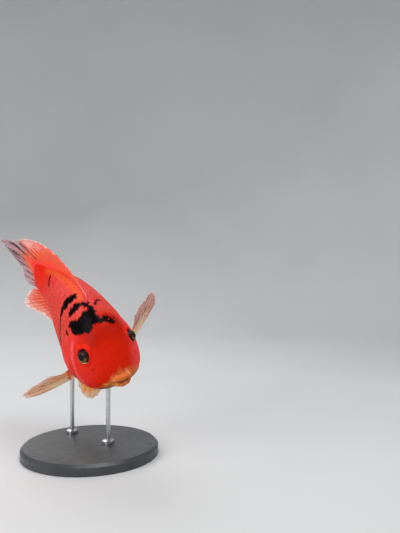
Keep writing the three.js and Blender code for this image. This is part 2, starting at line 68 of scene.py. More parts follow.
LENGTH = 150.0
SECTIONS = np.array([
    [0, 2.2, -3.2, 5.4, -0.6],
    [3, 8.4, -9.6, 12.0, -1.6],
    [10, 17.4, -19.4, 20.6, -3.4],
    [20, 27.2, -28.0, 26.4, -5.2],
    [32, 34.4, -33.4, 29.6, -6.0],
    [48, 39.8, -36.6, 31.0, -5.6],
    [70, 42.1, -37.0, 27.8, -2.6],
    [90, 40.4, -33.6, 23.8, -0.2],
    [112, 34.6, -25.4, 17.0, 2.0],
    [132, 26.4, -17.2, 9.8, 3.4],
    [150, 21.6, -14.2, 3.6, 4.0],
])
HEAD_POWER = 1.9
TRUNK_POWER = 1.55
BELLY_POWER = 2.5
POWER_FROM, POWER_TO = 18, 55
SNOUT_CAP = 1.0
TAIL_CAP = 0.72

# The bend of the spine and the pose

BEND_FROM = 70
BEND_LENGTH = 80
BEND_RUN_ON = 1.6
BEND_TO_RIGHT = 0.407
BEND_UP = 0.138
BEND_ROLL = -0.022
SNOUT_PLACE = np.array([34, -39.5, 73.8])
POSE = np.array([
    [0.54182, 0.84038, 0.01402],
    [-0.63093, 0.41770, -0.65380],
    [-0.55529, 0.34539, 0.75654],
])

# The camera stands where the photograph was taken from, and looks level.

CAMERA_PLACE = (0.097059, -0.515081, 0.165044)
CAMERA_LENS = 39.25

# The face. A lip has its front, its left corner, and its radius at each of them. A lump of the
# lips has its centre, its width and its height.

EYE_AT, EYE_UP = 25.2, 15.2
EYE_SUNK = 3.9
EYE_RIM, EYE_GROOVE = 7.1, 9.8
NOSTRIL_AT, NOSTRIL_UP = 13.6, 8.6
NOSTRIL_RIM = 1.35
UPPER_LIP = ([-1.4, 0, 2.2], [7.2, 8.8, -1.9], 2.5, 1.5)
LOWER_LIP = ([-1.0, 0, -5.0], [7.4, 8.4, -3.9], 2.8, 1.5)
LIP_LUMPS = [
    [-0.8, 0.4, 5.2, 2.4, 0.7],
    [0.4, -5.6, 3.6, 1.6, 0.5],
    [0.6, 5.8, 3.2, 1.8, 0.4],
    [0.4, -2.6, -4.4, 1.8, 0.4],
    [0.4, 3.4, -4.6, 2.0, 0.35],
]
MOUTH_PLACE = np.array([0.5, 0, -1.35])
MOUTH_SIZE = np.array([6.5, 6.2, 0.95])
COVER_OUTLINE = [
    [35.5, 13], [44.5, 12.5], [51.5, 5.5], [53.6, -3], [49.5, -13],
    [43.5, -21], [36.5, -25], [31.5, -20], [31.8, -7], [33.5, 6],
]
COVER_RAISE = 1.0
SKIN_DEPTH = 0.35

# Folds and ridges of the face, each a path in the side view, its width and its depth: the edge
# of the cheek, the jaw line, the brow over the eye and the ridge behind the cheek. A ridge has
# a depth below zero.

FOLDS = [
    ([[31, 4], [33.5, -6], [33, -16], [27, -23], [19, -24]], 1.4, 0.35),
    ([[7.5, -5.5], [11, -8], [15, -12], [17, -17]], 1.5, 0.3),
    ([[35, 15.5], [33, 20.4], [29, 23], [25, 23.4]], 1.6, -0.7),
    ([[41, 13], [39.5, 8], [35, 3.5], [30, -3.5], [26.5, -9.5]], 1.7, -0.35),
]

# Numbers, directions and curves


def smoothstep(low, high, value):
    """Runs from 0 at low to 1 at high; low may be the larger of the two."""
    share = np.clip((value - low) / (high - low), 0, 1)
    return share * share * (3 - 2 * share)


def mix(a, b, share):
    return a + (b - a) * share


def bell(offset, width):
    return np.exp(-((offset / width) ** 2))


def length_of(vectors):
    return np.linalg.norm(vectors, axis=-1)


def unit(vectors):
    return vectors / np.maximum(length_of(vectors), 1e-9)[..., None]


def curve_through(places, values):
    """A smooth curve through points that never overshoots them, as a function of arrays."""
    places, values = np.asarray(places, dtype=float), np.asarray(values, dtype=float)
    slopes = np.diff(values) / np.diff(places)
    before, after = slopes[:-1], slopes[1:]
    same_way = before * after > 0
    middle = 2 * before * after / np.where(same_way, before + after, 1) * same_way
    tangents = np.concatenate([slopes[:1], middle, slopes[-1:]])

    def curve(place):
        inside = np.clip(place, places[0], places[-1])
        i = np.clip(np.searchsorted(places, inside) - 1, 0, len(places) - 2)
        span = places[i + 1] - places[i]
        t = (inside - places[i]) / span
        bend = span * t * (1 - t) * ((1 - t) * tangents[i] - t * tangents[i + 1])
        return mix(values[i], values[i + 1], smoothstep(0, 1, t)) + bend

    return curve


def curve_of(corners, count, closed=False, power=0.0):
    """A smooth curve through corners; with a power above 0 its bends depend on their gaps."""
    corners = np.asarray(corners, dtype=float)
    before, after = 2 * corners[0] - corners[1], 2 * corners[-1] - corners[-2]
    if closed:
        before, after = corners[-1], corners[:2]
    padded = np.vstack([before, corners, after])
    spans = len(padded) - 3
    t = np.linspace(0, spans, count, endpoint=not closed)
    i = np.minimum(t.astype(int), spans - 1)
    t = (t - i)[:, None]
    p0, p1, p2, p3 = (padded[i + step] for step in range(4))
    d0, d1, d2 = (length_of(b - a)[:, None] ** power for a, b in ((p0, p1), (p1, p2), (p2, p3)))
    t1 = ((p1 - p0) / d0 - (p2 - p0) / (d0 + d1) + (p2 - p1) / d1) * d1
    t2 = ((p2 - p1) / d1 - (p3 - p1) / (d1 + d2) + (p3 - p2) / d2) * d1
    run = p2 - p1
    return p1 + t1 * t + (3 * run - 2 * t1 - t2) * t**2 + (t1 + t2 - 2 * run) * t**3


def spread_evenly(line, count):
    """Places evenly spaced along a line of points, and the way along it to each point."""
    length = np.concatenate([[0], np.cumsum(length_of(np.diff(line, axis=0)))])
    even = np.linspace(0, length[-1], count)
    return np.stack([np.interp(even, length, column) for column in line.T], 1), length


def even_curve(corners, count):
    """Points evenly spaced along a smooth curve whose bends depend on the corners' gaps."""
    return spread_evenly(curve_of(corners, 59 * (len(corners) - 1) + 1, power=0.5), count)[0]


def noise(points, size, seed):
    """Smooth noise from -1 to 1 whose lumps are about as large as size."""
    cells = points / size
    low = np.floor(cells).astype(np.int64)
    share = smoothstep(low, low + 1, cells)
    word = 0xFFFFFFFF
    total = 0
    for corner in np.ndindex(2, 2, 2):
        x, y, z = ((low + corner) * [73856093, 19349663, 83492791]).T
        mixed = ((x ^ y ^ z) + seed * 2654435761) & word
        mixed = ((mixed ^ (mixed >> 15)) * 2246822519) & word
        mixed = ((mixed ^ (mixed >> 13)) * 3266489917) & word
        value = ((mixed ^ (mixed >> 16)) & 0xFFFF) / 32767.5 - 1
        total = total + value * np.prod(np.where(corner, share, 1 - share), axis=1)
    return total


def layered_noise(points, size, seed):
    return (
        noise(points, size, seed) * 0.55
        + noise(points, size / 2.1, seed + 1) * 0.3
        + noise(points, size / 4.3, seed + 2) * 0.15
    )


# The plain body

back_at, belly_at, half_at, level_at = (
    curve_through(SECTIONS[:, 0], column) for column in SECTIONS.T[1:]
)


def section_shape(at, above):
    """The level where a section is widest, and the power and reach of its upper or lower part."""
    level = level_at(at)
    back_power = mix(HEAD_POWER, TRUNK_POWER, smoothstep(POWER_FROM, POWER_TO, at))
    power = np.where(above, back_power, BELLY_POWER)
    return level, power, np.where(above, back_at(at) - level, level - belly_at(at))


def flank_at(at, up):
    """How far the flank lies from the middle at one place in the side view."""
    level, power, reach = section_shape(at, up >= level_at(at))
    share = np.clip(np.abs((up - level) / reach), 0, 1)
    return half_at(at) * (1 - share**power) ** (1 / power)


def flank_frame(at, up, side):
    """A place on the flank and its outward direction."""
    def point(a, u):
        return np.array([a, side * float(flank_at(a, u)), u])

    step = 0.5
    along = point(at + step, up) - point(at - step, up)
    across = point(at, up + step) - point(at, up - step)
    normal = unit(np.cross(along, across))
    return point(at, up), normal * np.sign(normal[1] * side)


# The pose of the fish


def spine_turn(at):
    share = np.clip((at - BEND_FROM) / BEND_LENGTH, 0, BEND_RUN_ON)
    return share * BEND_TO_RIGHT, share * BEND_UP, share * BEND_ROLL


def spine_forward(at):
    yaw, lift, _ = spine_turn(at)
    return np.stack([np.cos(yaw) * np.cos(lift), np.sin(yaw) * np.cos(lift), -np.sin(lift)], -1)


SPINE_AT = np.arange(-30, 241, dtype=float)
SPINE = [30, 0, 0] - np.vstack([[0, 0, 0], np.cumsum(spine_forward(SPINE_AT[:-1] + 0.5), 0)])


def to_world(fish):
    """Places on the straight fish, in millimetres, to places in the scene, in metres."""
    at, side, up = fish.T[..., None]
    centre = np.hstack([np.interp(at, SPINE_AT, column) for column in SPINE.T])
    yaw, _, roll = spine_turn(at)
    left = np.hstack([-np.sin(yaw), np.cos(yaw), 0 * yaw])
    upward = np.cross(spine_forward(fish[:, 0]), left)
    rolled_left = left * np.cos(roll) + upward * np.sin(roll)
    rolled_up = upward * np.cos(roll) - left * np.sin(roll)
    bent = centre + rolled_left * side + rolled_up * up
    return (bent @ POSE.T + SNOUT_PLACE) * MM


# Meshes


def link(name, data):
    made = bpy.data.objects.new(name, data)
    bpy.context.scene.collection.objects.link(made)
    return made


def mesh_object(name, world, quads, triangles=()):
    """A smooth mesh from places in metres and arrays of four-cornered and three-cornered faces."""
    mesh = bpy.data.meshes.new(name)
    kinds = [np.reshape(quads, (-1, 4)), np.reshape(triangles, (-1, 3))]
    corners = np.concatenate([faces.ravel() for faces in kinds]).astype(np.int32)
    sizes = np.repeat([4, 3], [len(faces) for faces in kinds]).astype(np.int32)
    mesh.vertices.add(len(world))
    mesh.vertices.foreach_set("co", np.asarray(world, dtype=np.float32).ravel())
    mesh.loops.add(len(corners))
    mesh.loops.foreach_set("vertex_index", corners)
    mesh.polygons.add(len(sizes))
    mesh.polygons.foreach_set("loop_start", np.cumsum(sizes, dtype=np.int32) - sizes)
    mesh.polygons.foreach_set("loop_total", sizes)
    mesh.update(calc_edges=True)
    mesh.validate()
    mesh.shade_smooth()
    return link(name, mesh)


def add_values(made, **values):
    """Numbers or places for each point, under the names that the materials ask for."""
    for name, numbers in values.items():
        kind, field = (("FLOAT", "value"), ("FLOAT_VECTOR", "vector"))[np.ndim(numbers) - 1]
        attribute = made.data.attributes.new(name, kind, "POINT")
        attribute.data.foreach_set(field, np.asarray(numbers, dtype=np.float32).ravel())


def read_numbers(items, name):
    numbers = np.empty(len(items), dtype=np.int32)
    items.foreach_get(name, numbers)
    return numbers


def add_bake_map(made, unwrapped):
    """A UV map with one place for every corner of every face."""
    layer = made.data.uv_layers.new(name="OFBake")
    layer.data.foreach_set("uv", np.asarray(unwrapped, dtype=np.float32).ravel())


def grid_quads(rows, columns, closed=False):
    """Faces between rows of equally many points; closed joins the last column to the first."""
    row = np.arange(rows - 1)[:, None] * columns
    column = np.arange(columns if closed else columns - 1)
    a, b = row + column, row + (column + 1) % columns
    return np.stack([a, b, b + columns, a + columns], -1).reshape(-1, 4)


def tip_fans(rows, columns):
    """Triangles from the first and last row of a closed grid to the two points that follow it."""
    column = np.arange(columns)
    after = (column + 1) % columns
    last = (rows - 1) * columns
    tip = np.full(columns, rows * columns)
    front = np.stack([tip, after, column], 1)
    return np.vstack([front, np.stack([tip + 1, last + column, last + after], 1)])


def plate_quads(rows, columns):
    """Faces of one closed plate: its top grid, its underside and the rim between them."""
    top = grid_quads(rows, columns)
    under = rows * columns
    row, column = np.arange(rows) * columns, np.arange(columns)
    line = np.concatenate([column, row[1:] + columns - 1, row[-1] + column[-2::-1], row[-2:0:-1]])
    after = np.roll(line, -1)
    rim = np.stack([after, line, line + under, after + under], 1)
    return np.concatenate([top, top[:, ::-1] + under, rim])


# The plain skin: a table of places over the distance from the snout and the share of the way
# from the back (0) to the belly (1), on the left side.

FACE_END = 12
TABLE_AT = np.concatenate([
    np.linspace(0, 1, 60, endpoint=False) ** 2 * FACE_END, np.linspace(FACE_END, LENGTH, 277)
])
TABLE_SHARES = 241


def half_section(at):
    """The left half of a section from back to belly, its length, and the way to its widest."""
    angle = np.linspace(np.pi / 2, -np.pi / 2, 1441)
    above = angle >= 0
    level, power, reach = section_shape(at, above)
    side = half_at(at) * np.abs(np.cos(angle)) ** (2 / power)
    side[[0, -1]] = 0
    up = level + reach * np.sign(angle) * np.abs(np.sin(angle)) ** (2 / power)
    # The sharp edge along the back is rounded, most on the nape.
    blunt = mix(4.2, 1.6, smoothstep(50, 74, at))
    rounded = np.interp(np.hypot(side[above], blunt), side[above], up[above])
    up[above] = mix(rounded, up[above], smoothstep(0.25, 0.7, side[above] / half_at(at)))
    points, length = spread_evenly(np.stack([side, up], 1), TABLE_SHARES)
    return points, length[-1], np.interp(0, -angle, length)


def build_table():
    sections, lengths, widest = (np.array(v) for v in zip(*(half_section(at) for at in TABLE_AT)))
    at = np.repeat(TABLE_AT[:, None], TABLE_SHARES, 1)
    places = np.concatenate([at[..., None], sections], -1)
    across = np.gradient(places, axis=1)
    across[:, 0], across[:, -1] = [0, 1, 0], [0, -1, 0]
    normals = unit(np.cross(across, np.gradient(places, axis=0)))
    return places, normals * np.sign(normals[:, TABLE_SHARES // 2, 1].mean()), lengths, widest


PLACES, NORMALS, HALF_ROUND, TO_WIDEST = build_table()


def look_up(table, at, share):
    """Values of a table between its points."""
    i = np.clip(np.searchsorted(TABLE_AT, at) - 1, 0, len(TABLE_AT) - 2)
    s = np.clip((at - TABLE_AT[i]) / (TABLE_AT[i + 1] - TABLE_AT[i]), 0, 1)[..., None]
    column = np.clip(share, 0, 1) * (TABLE_SHARES - 1)
    j = np.minimum(column.astype(int), TABLE_SHARES - 2)
    t = (column - j)[..., None]
    low, high = (mix(table[row, j], table[row, j + 1], t) for row in (i, i + 1))
    return mix(low, high, s)


def plain_skin(at, share, side=1):
    """Places and outward directions; a share below 0 or above 1 runs over to the other side."""
    mirror = np.where((share < 0) | (share > 1), -1, 1) * side
    share = np.where(share < 0, -share, np.where(share > 1, 2 - share, share))
    places, normals = (look_up(table, at, share) for table in (PLACES, NORMALS))
    places[:, 1] *= mirror
    normals[:, 1] *= mirror
    return places, unit(normals)


# What stands up from the plain skin or lies in it

EYE_FRAMES = [flank_frame(EYE_AT, EYE_UP, side) for side in (1, -1)]
NOSTRILS = [flank_frame(NOSTRIL_AT, NOSTRIL_UP, side)[0] for side in (1, -1)]
COVER_EDGE = curve_of(COVER_OUTLINE, 90, closed=True)


def lip_balls(front, corner, thick, thin):
    """The run of balls that makes a lip, from its left corner round to the right: places, radii."""
    front, corner = np.array(front, dtype=float), np.array(corner, dtype=float)
    cheek = mix(front, corner, 0.28)
    cheek[1] = corner[1] * 0.66
    mirror = [1, -1, 1]
    path = curve_of([corner, cheek, front, cheek * mirror, corner * mirror], 41)
    return path, mix(thin, thick, np.sin(np.pi * np.linspace(0, 1, len(path))))


LIPS = [lip_balls(*lip) for lip in (UPPER_LIP, LOWER_LIP)]


def edge_gap(flat, start, end):
    """Distance of flat places from the straight line between two points."""
    edge = end - start
    share = np.clip(((flat - start) @ edge) / (edge @ edge), 0, 1)
    return length_of(flat - (start + share[:, None] * edge))


def outline_distance(flat, outline):
    """Distance of flat places from a closed outline, negative inside."""
    outline = np.array(outline, dtype=float)
    nearest = np.full(len(flat), np.inf)
    inside = np.zeros(len(flat), dtype=bool)
    x, y = flat.T
    for start, end in zip(outline, np.roll(outline, -1, 0)):
        nearest = np.minimum(nearest, edge_gap(flat, start, end))
        run, rise = end - start
        before = (x - start[0]) * rise < (y - start[1]) * run
        inside ^= ((start[1] > y) != (end[1] > y)) & (before == (rise > 0))
    return np.where(inside, -nearest, nearest)


def path_depth(flat, path, radius):
    """How far inside a stroke flat places lie, in millimetres, negative outside."""
    path = np.array(path, dtype=float)
    return radius - np.min([edge_gap(flat, *ends) for ends in zip(path, path[1:])], axis=0)


def balls_distance(places, path, radii=0):
    """Distance of places from a run of balls, and the nearest ball's number."""
    best = np.full(len(places), np.inf)
    which = np.zeros(len(places), dtype=int)
    for number, (point, radius) in enumerate(zip(path, np.broadcast_to(radii, len(path)))):
        gap = length_of(places - point) - radius
        nearer = gap < best
        best[nearer] = gap[nearer]
        which[nearer] = number
    return best, which


def off_axis(places, centre, axis):
    """Where places lie to the side of an axis."""
    offset = places - centre
    return offset - (offset @ axis)[:, None] * axis


def eye_gaps(places):
    """For each eye, the distance of places from its axis, endless away from that eye."""
    for centre, axis in EYE_FRAMES:
        gap = length_of(off_axis(places, centre, axis))
        yield np.where((gap < 13) & (length_of(places - centre) < 15), gap, np.inf)


def cover_gaps(places, start, top):
    """Which places are near a gill cover, how far outside its edge, and how far back and down."""
    at, side, up = places.T
    near = (at > 25) & (at < 60) & (np.abs(side) > 8)
    gap = outline_distance(places[near][:, [0, 2]], COVER_EDGE)
    return near, gap, smoothstep(start, start + 8, at[near]) * smoothstep(top, 0, up[near])


def soft_min(a, b, blend):
    share = np.clip(0.5 + 0.5 * (b - a) / blend, 0, 1)
    return mix(b, a, share) - blend * share * (1 - share)


def mouth_distance(places):
    scaled = (places - MOUTH_PLACE) / MOUTH_SIZE
    reach = length_of(scaled)
    return reach * (reach - 1) / np.maximum(length_of(scaled / MOUTH_SIZE), 1e-6)


def mouth_height(places, normals):
    """Height of the lips and their wrinkles above the plain skin, and depth of the open mouth."""
    height = np.full(len(places), 6.0)
    for _ in range(36):
        point = places + normals * height[:, None]
        gap = height
        for path, radii in LIPS:
            gap = soft_min(gap, balls_distance(point, path, radii)[0], 0.9)
        gap = -soft_min(-gap, mouth_distance(point), 0.4)
        height = np.maximum(height - gap * 0.8, -3.5)
    for *centre, wide, raised in LIP_LUMPS:
        height += raised * bell(length_of(places - centre), wide)
    near = smoothstep(11, 7, length_of(places - [0, 0, -1]))
    return height + 0.4 * near * layered_noise(places, 3.2, 31)


def face_height(places, normals):
    """How far the skin stands above the plain body, in millimetres."""
    at, side, up = places.T
    height = np.zeros(len(places))
    near, gap, behind = cover_gaps(places, 33, 12)
    height[near] += (COVER_RAISE * smoothstep(0.2, -0.9, gap) - 0.5 * bell(gap - 0.5, 0.5)) * behind
    for corners, wide, deep in FOLDS:
        path = curve_of(corners, 40)
        for mirror in (1, -1):
            here = ((side >= 0) == (mirror == 1)) & (at < 45)
            spots = np.stack([path[:, 0], mirror * flank_at(*path.T), path[:, 1]], 1)
            gap, which = balls_distance(places[here], spots)
            ends = np.sin(np.pi * np.clip(which / 39, 0.02, 0.98)) ** 0.5
            height[here] -= deep * ends * bell(gap, wide)
    for gap in eye_gaps(places):
        height += 0.9 * bell(gap - EYE_RIM, 1.1) - 0.3 * bell(gap - EYE_GROOVE, 1.4)
        height -= 5.5 * smoothstep(6.4, 5.2, gap)
    for centre in NOSTRILS:
        gap = length_of(places - centre)
        height += 0.45 * bell(gap - NOSTRIL_RIM, 0.55) - 1.6 * smoothstep(1.15, 0.5, gap)
    lips = (at < 9) & (np.abs(side) < 13) & (np.abs(up + 1.5) < 10)
    height[lips] += mouth_height(places[lips], normals[lips])
    return height


def skin_surface(at, share, side):
    """Places on the finished skin and its outward directions there."""
    places, normals = plain_skin(at, share, side)
    height = face_height(places, normals) - SKIN_DEPTH
    height += 0.12 * layered_noise(places, 5.0, 11) * smoothstep(2, 14, at)
    return places + normals * height[:, None], normals


# Markings, as outlines and strokes on the skin laid flat. Each place is [at, round]: "round" is
# the way over the skin from the ridge of the back, above zero on the fish's left.

BLACK_PATCHES = [
    [[57, -23.5], [51, -16.3], [51, -12.2], [52, -8.4], [50, -5.3], [51, -2.5], [53, -1.6],
     [51, 1.7], [47, 1.1], [43, 0.5], [39, 0.6], [38, 3], [40, 5.7], [40, 10.2], [37, 9],
     [39, 15.1], [37, 16.3], [35, 13.6], [33, 10.1], [34, 4], [35, -1.4], [36, -4.9],
     [34, -8.1], [33, -11.4], [37, -17.6], [44, -26.8], [49, -26.9], [52, -26.8], [55, -28.3],
     [56, -25.1]],
    [[51, 0.4], [54, -1], [58, 0], [56, -1.6], [58, -3.2], [62, -7.1], [64, -9.2], [65, -11.6],
     [64, -14.3], [65, -18.5], [64, -21.4], [62, -23.1], [60, -20.3], [60, -17.4], [58, -14.7],
     [57, -10.7], [58, -8.3], [56, -6.2], [53, -3.4], [50, -1.7]],
    [[70, -4.8], [67, -6.9], [69, -10.2], [69, -12.7], [70, -16.6], [70, -19.4], [71, -22.2],
     [72, -25.1], [72, -31.3], [70, -33.1], [73, -34.2], [76, -30.6], [78, -25.7], [78, -21.4],
     [79, -17.1], [78, -13.2], [75, -8.7], [73, -6.7]],
    [[92, 14], [97, 12], [101, 16], [102, 22], [99, 28], [96, 24], [96, 19]],
]
BLACK_STROKES = [
    ([[73, -32.6], [68, -38.1], [66, -44.5], [62, -48], [59, -51.1]], 0.95),
    ([[56, -33.1], [54, -33.2], [52, -33.2]], 1.2),
    ([[53, 4.2], [57, 7.2], [59, 10.7], [59, 13.3]], 0.8),
    ([[122, -7], [121, -10.4], [119, -14.7], [117, -17.3]], 0.95),
    ([[112, 16], [117, 19], [121, 24]], 1.1),
]
# Paths of the painted highlight along the cheek ridge and the edge of the flank.
CHEEK_RIDGE = [[42, -33], [40, -37.5], [35, -44], [30, -50], [26, -55], [22, -53]]
FLANK_EDGE = [[80, -60], [64, -57], [55, -56.5], [48, -57.5], [46, -65]]
# Path of the painted shadow in the hollow under the brow, over the eye.
EYE_HOLLOW = [[31, -24.6], [27, -22.2]]
# Path of the painted highlight on the brow over the eye.
BROW = [[36, -30], [32, -26.2], [29, -21.8], [25, -18.6]]
BACK_STREAK = [[130, -2.5], [116, -3], [102, -3.5], [88, -4], [76, -4.2], [66, -4.6], [61, -6.5]]

# Spots of the lips, each a centre and a radius: painted highlights in salmon on the lumps of the
# lips, and the pale rim under them.

SALMON_SPOTS = [
    [-0.9, 0.4, 4.9, 2.5], [0.6, -5.8, 3.4, 1.4], [1.4, 6.6, 2.6, 1.2],
    [0, -2.4, -3.9, 2.3], [0, 2.6, -4.1, 2.5], [1.2, 6, -3.6, 1.6],
]
PALE_SPOTS = [
    [-1.8, -3.4, -7.2, 0.9], [-2.6, -0.8, -7.4, 1.0], [-2.4, 1.8, -7.4, 1.0],
    [-1.4, 4.2, -7.2, 1.0], [0.6, 6.8, -6.4, 1.3],
]


def dark_share(places, flat):
    """How black the skin is, 0 to 1, with ragged edges."""
    grain = np.stack([flat[:, 0] * 0.5 - flat[:, 1] * 0.16, flat[:, 1] * 0.7, 0 * flat[:, 0]], 1)
    ragged = 1.2 * layered_noise(places, 2.8, 3) + 1.5 * layered_noise(grain, 0.8, 53)
    ragged = 0.3 + (ragged + 0.7 * noise(places, 1.3, 77)) * (1 + smoothstep(6, 12, flat[:, 1]))
    depths = [ragged - outline_distance(flat, outline) for outline in BLACK_PATCHES]
    depths += [path_depth(flat, *stroke) + 0.3 * ragged for stroke in BLACK_STROKES]
    return smoothstep(-0.35, 0.5, np.max(depths, axis=0))


def dusk_share(places, flat, right):
    """Painted shade: darker red just ahead of the black patch and low on the right cheek, and
    painted shadow in the hollow under the brow over the eye.
    """
    at = flat[:, 0]
    ahead = smoothstep(12, 31, at) * smoothstep(46, 38, at) * smoothstep(30, 14, np.abs(flat[:, 1]))
    low = smoothstep(52, 66, -flat[:, 1]) * smoothstep(10, 20, at) * smoothstep(50, 36, at)
    ahead = np.maximum(ahead, 0.5 * low) * (0.8 + 0.5 * layered_noise(places, 9, 41))
    hollow = smoothstep(-2.6, 1.2, path_depth(right, EYE_HOLLOW, 0.6))
    return np.maximum(np.clip(ahead, 0, 1), hollow)


def blush_share(places, right):
    """The pink of the cheeks, and a painted highlight along the two ridges on the side of the head,
    fainter on the left.
    """
    at, side, _ = places.T
    cheek = smoothstep(12, 23, np.abs(side)) * smoothstep(3, 13, at) * smoothstep(60, 40, at)
    cheek = cheek * np.where(side > 0, 1, mix(0.35, 1, smoothstep(34, 44, at)))
    ridge = smoothstep(-2.6, 0.6, path_depth(right, CHEEK_RIDGE, 0.9))
    ridge = np.maximum(ridge, 0.8 * smoothstep(-2.2, 0.6, path_depth(right, FLANK_EDGE, 1.0)))
    return cheek, ridge * np.where(side > 0, 0.4, 1) * (0.75 + 0.5 * layered_noise(places, 3, 43))


def muzzle_share(places):
    """How far the skin turns to the ochre of the muzzle and the throat."""
    at, side, up = places.T
    edge = 7.3 - np.where(side > 0, 0.024, 0.05) * side**2
    below = edge - up + 2.4 * layered_noise(places, 4.0, 21)
    reach = mix(30, 19, smoothstep(-16, -3, up))
    soft = mix(1, 2.4, smoothstep(5, 13, side))
    share = smoothstep(-2.2 * soft, 3.2 * soft, below - 1.6 * (soft - 1))
    return share * smoothstep(reach, 6, at) * (up < 14)


def spots_share(places, spots, outer, inner):
    """1 inside a few round spots, falling to 0 round them."""
    return np.max([
        smoothstep(radius + outer, radius - inner, length_of(places - centre))
        for *centre, radius in spots
    ], axis=0)


def hollow_share(places):
    """Painted shade: how dark the mouth, the nostrils and the line where the rim meets the eye are.
    """
    dark = smoothstep(0.9, -0.5, mouth_distance(places)) * (places[:, 0] < 8)
    for centre in NOSTRILS:
        dark = np.maximum(dark, smoothstep(1.15, 0.6, length_of(places - centre)))
    for gap in eye_gaps(places):
        dark = np.maximum(dark, smoothstep(6.6, 5.9, gap))
    return dark


def cover_shade(places):
    """Painted shade: the dark line in the slit behind the edge of the gill cover."""
    shade = np.zeros(len(places))
    near, gap, behind = cover_gaps(places, 34, 10)
    shade[near] = bell(gap - 0.45, 0.5) * behind
    return shade


def add_markings(made, places, at, share, side):
    """Every mask of the skin, at each point; at, share and side say where it lies on the body."""
    flat = np.stack([at, share * np.interp(at, TABLE_AT, HALF_ROUND) * side], 1)
    right = np.stack([at, -np.abs(flat[:, 1])], 1)
    cheek, ridge = blush_share(places, right)
    streak = path_depth(flat, BACK_STREAK, 2.0) + 1.5 * layered_noise(places, 7, 47)
    add_values(
        made, fish=places, dark=dark_share(places, flat), muzzle=muzzle_share(places),
        hollow=hollow_share(places), slit=cover_shade(places), cheek=cheek, ridge=ridge,
        dusk=dusk_share(places, flat, right), salmon=spots_share(places, SALMON_SPOTS, 1.1, 0.9),
        pale=spots_share(places, PALE_SPOTS, 0.7, 0.5), streak=smoothstep(-4, 1.5, streak),
        brow=smoothstep(-1.8, 0.8, path_depth(right, BROW, 0.8)),
    )


def unwrap(at, share, side):
    """The skin's own unwrap: snout to tail across, and back, left flank, belly, right up."""
    round_share = np.where(side > 0, share / 2, 1 - share / 2)
    return np.stack([0.02 + 0.96 * np.clip(at / LENGTH, 0, 1), 0.02 + 0.96 * round_share], -1)


# The skin, one closed surface of rings, closest on the face, with a cap at each end

SKIN_SIDES = 400
CAP_ROWS = 9
RING_AT = np.concatenate([
    np.linspace(0, 1, 34, endpoint=False) ** 1.8 * FACE_END,
    np.arange(FACE_END, 40, 0.36),
    np.arange(40, 62, 0.6),
    np.arange(62, 150, 1.25),
    [149.4, 150],
])


def build_skin():
    half = SKIN_SIDES // 2
    share = np.concatenate([np.linspace(0, 1, half + 1), np.linspace(1, 0, half + 1)[1:-1]])
    side = np.concatenate([np.ones(half + 1), -np.ones(half - 1)])
    count = len(RING_AT)
    places, _ = skin_surface(
        np.repeat(RING_AT, SKIN_SIDES), np.tile(share, count), np.tile(side, count)
    )
    places = places.reshape(count, SKIN_SIDES, 3)
    tail = [row for row, _ in dome(places[-1], TAIL_CAP)]
    rows = np.concatenate([snout_cap(share, side)[::-1], places, tail])
    fish = np.vstack([rows.reshape(-1, 3), rows[0].mean(0), rows[-1].mean(0)])
    quads = grid_quads(len(rows), SKIN_SIDES, closed=True)
    skin = mesh_object("skin", to_world(fish), quads, tip_fans(len(rows), SKIN_SIDES))
    row_at = np.concatenate([np.zeros(CAP_ROWS), RING_AT, np.full(CAP_ROWS, LENGTH)])
    of_column = [np.append(np.tile(value, len(rows)), [0, 0]) for value in (share, side)]
    add_markings(skin, fish, np.append(np.repeat(row_at, SKIN_SIDES), [0, LENGTH]), *of_column)
    map_skin(skin, row_at, share, side)
    return skin


def dome(edge, reach):
    """Rows that close a ring of points with a low dome, and how far each has risen, 0 to 1."""
    centre = edge.mean(0)
    for step in range(1, CAP_ROWS + 1):
        angle = step / (CAP_ROWS + 0.6) * np.pi / 2
        row = centre + (edge - centre) * np.cos(angle)
        row[:, 0] += reach * np.sin(angle)
        yield row, np.sin(angle)


def snout_cap(share, side):
    """Rows that close the snout, with the lips and the open mouth on them."""
    edge, outward = plain_skin(np.zeros(SKIN_SIDES), share, side)
    result = []
    for row, risen in dome(edge, -SNOUT_CAP):
        facing = unit(mix(outward, np.array([-1.0, 0, 0]), risen**0.7))
        result.append(row + facing * (mouth_height(row, facing) - SKIN_DEPTH)[:, None])
    return np.array(result)


def map_skin(skin, row_at, share, side):
    """The unwrap of the skin; the seam runs along the back."""
    vertex = read_numbers(skin.data.loops, "vertex_index")
    row, column = np.divmod(vertex, SKIN_SIDES)
    place = unwrap(row_at[np.minimum(row, len(row_at) - 1)], share[column], side[column])
    starts = read_numbers(skin.data.polygons, "loop_start")
    at_seam = np.maximum.reduceat(column, starts) == SKIN_SIDES - 1
    at_seam = np.repeat(at_seam, np.diff(np.append(starts, len(vertex))))
    place[at_seam & (column == 0), 1] = 0.98
    for tip, across in enumerate((0.015, 0.985)):
        place[vertex == len(row_at) * SKIN_SIDES + tip] = [across, 0.5]
    add_bake_map(skin, place)


# The scales, closed plates that overlap towards the tail

scale_pitch = curve_through([30, 45, 70, 105, 135, 158], [2.5, 3.0, 3.9, 3.6, 2.8, 2.1])
scales_start = curve_through(
    [-40, -30, -24, -13, -3, 5.5, 12.5, 20, 30, 43], [50, 46, 47, 52, 55.5, 54.5, 48, 43, 40, 39]
)
ROW_SPACING = 0.58
SCALE_LONG = 1.8
SCALE_WIDE = 1.16
SCALE_THICK = 0.12
SCALE_SIZE = 3.8
SCALE_GRID = 7
SCALES_FROM, SCALES_TO = 36.0, 149.5
ROOT_PATCH = 0.003


def row_share(at, row):
    """Share of the way round for a row of scales, counted down from the widest level."""
    down = np.interp(at, TABLE_AT, TO_WIDEST) + row * ROW_SPACING * scale_pitch(at)
    return down / np.interp(at, TABLE_AT, HALF_ROUND)


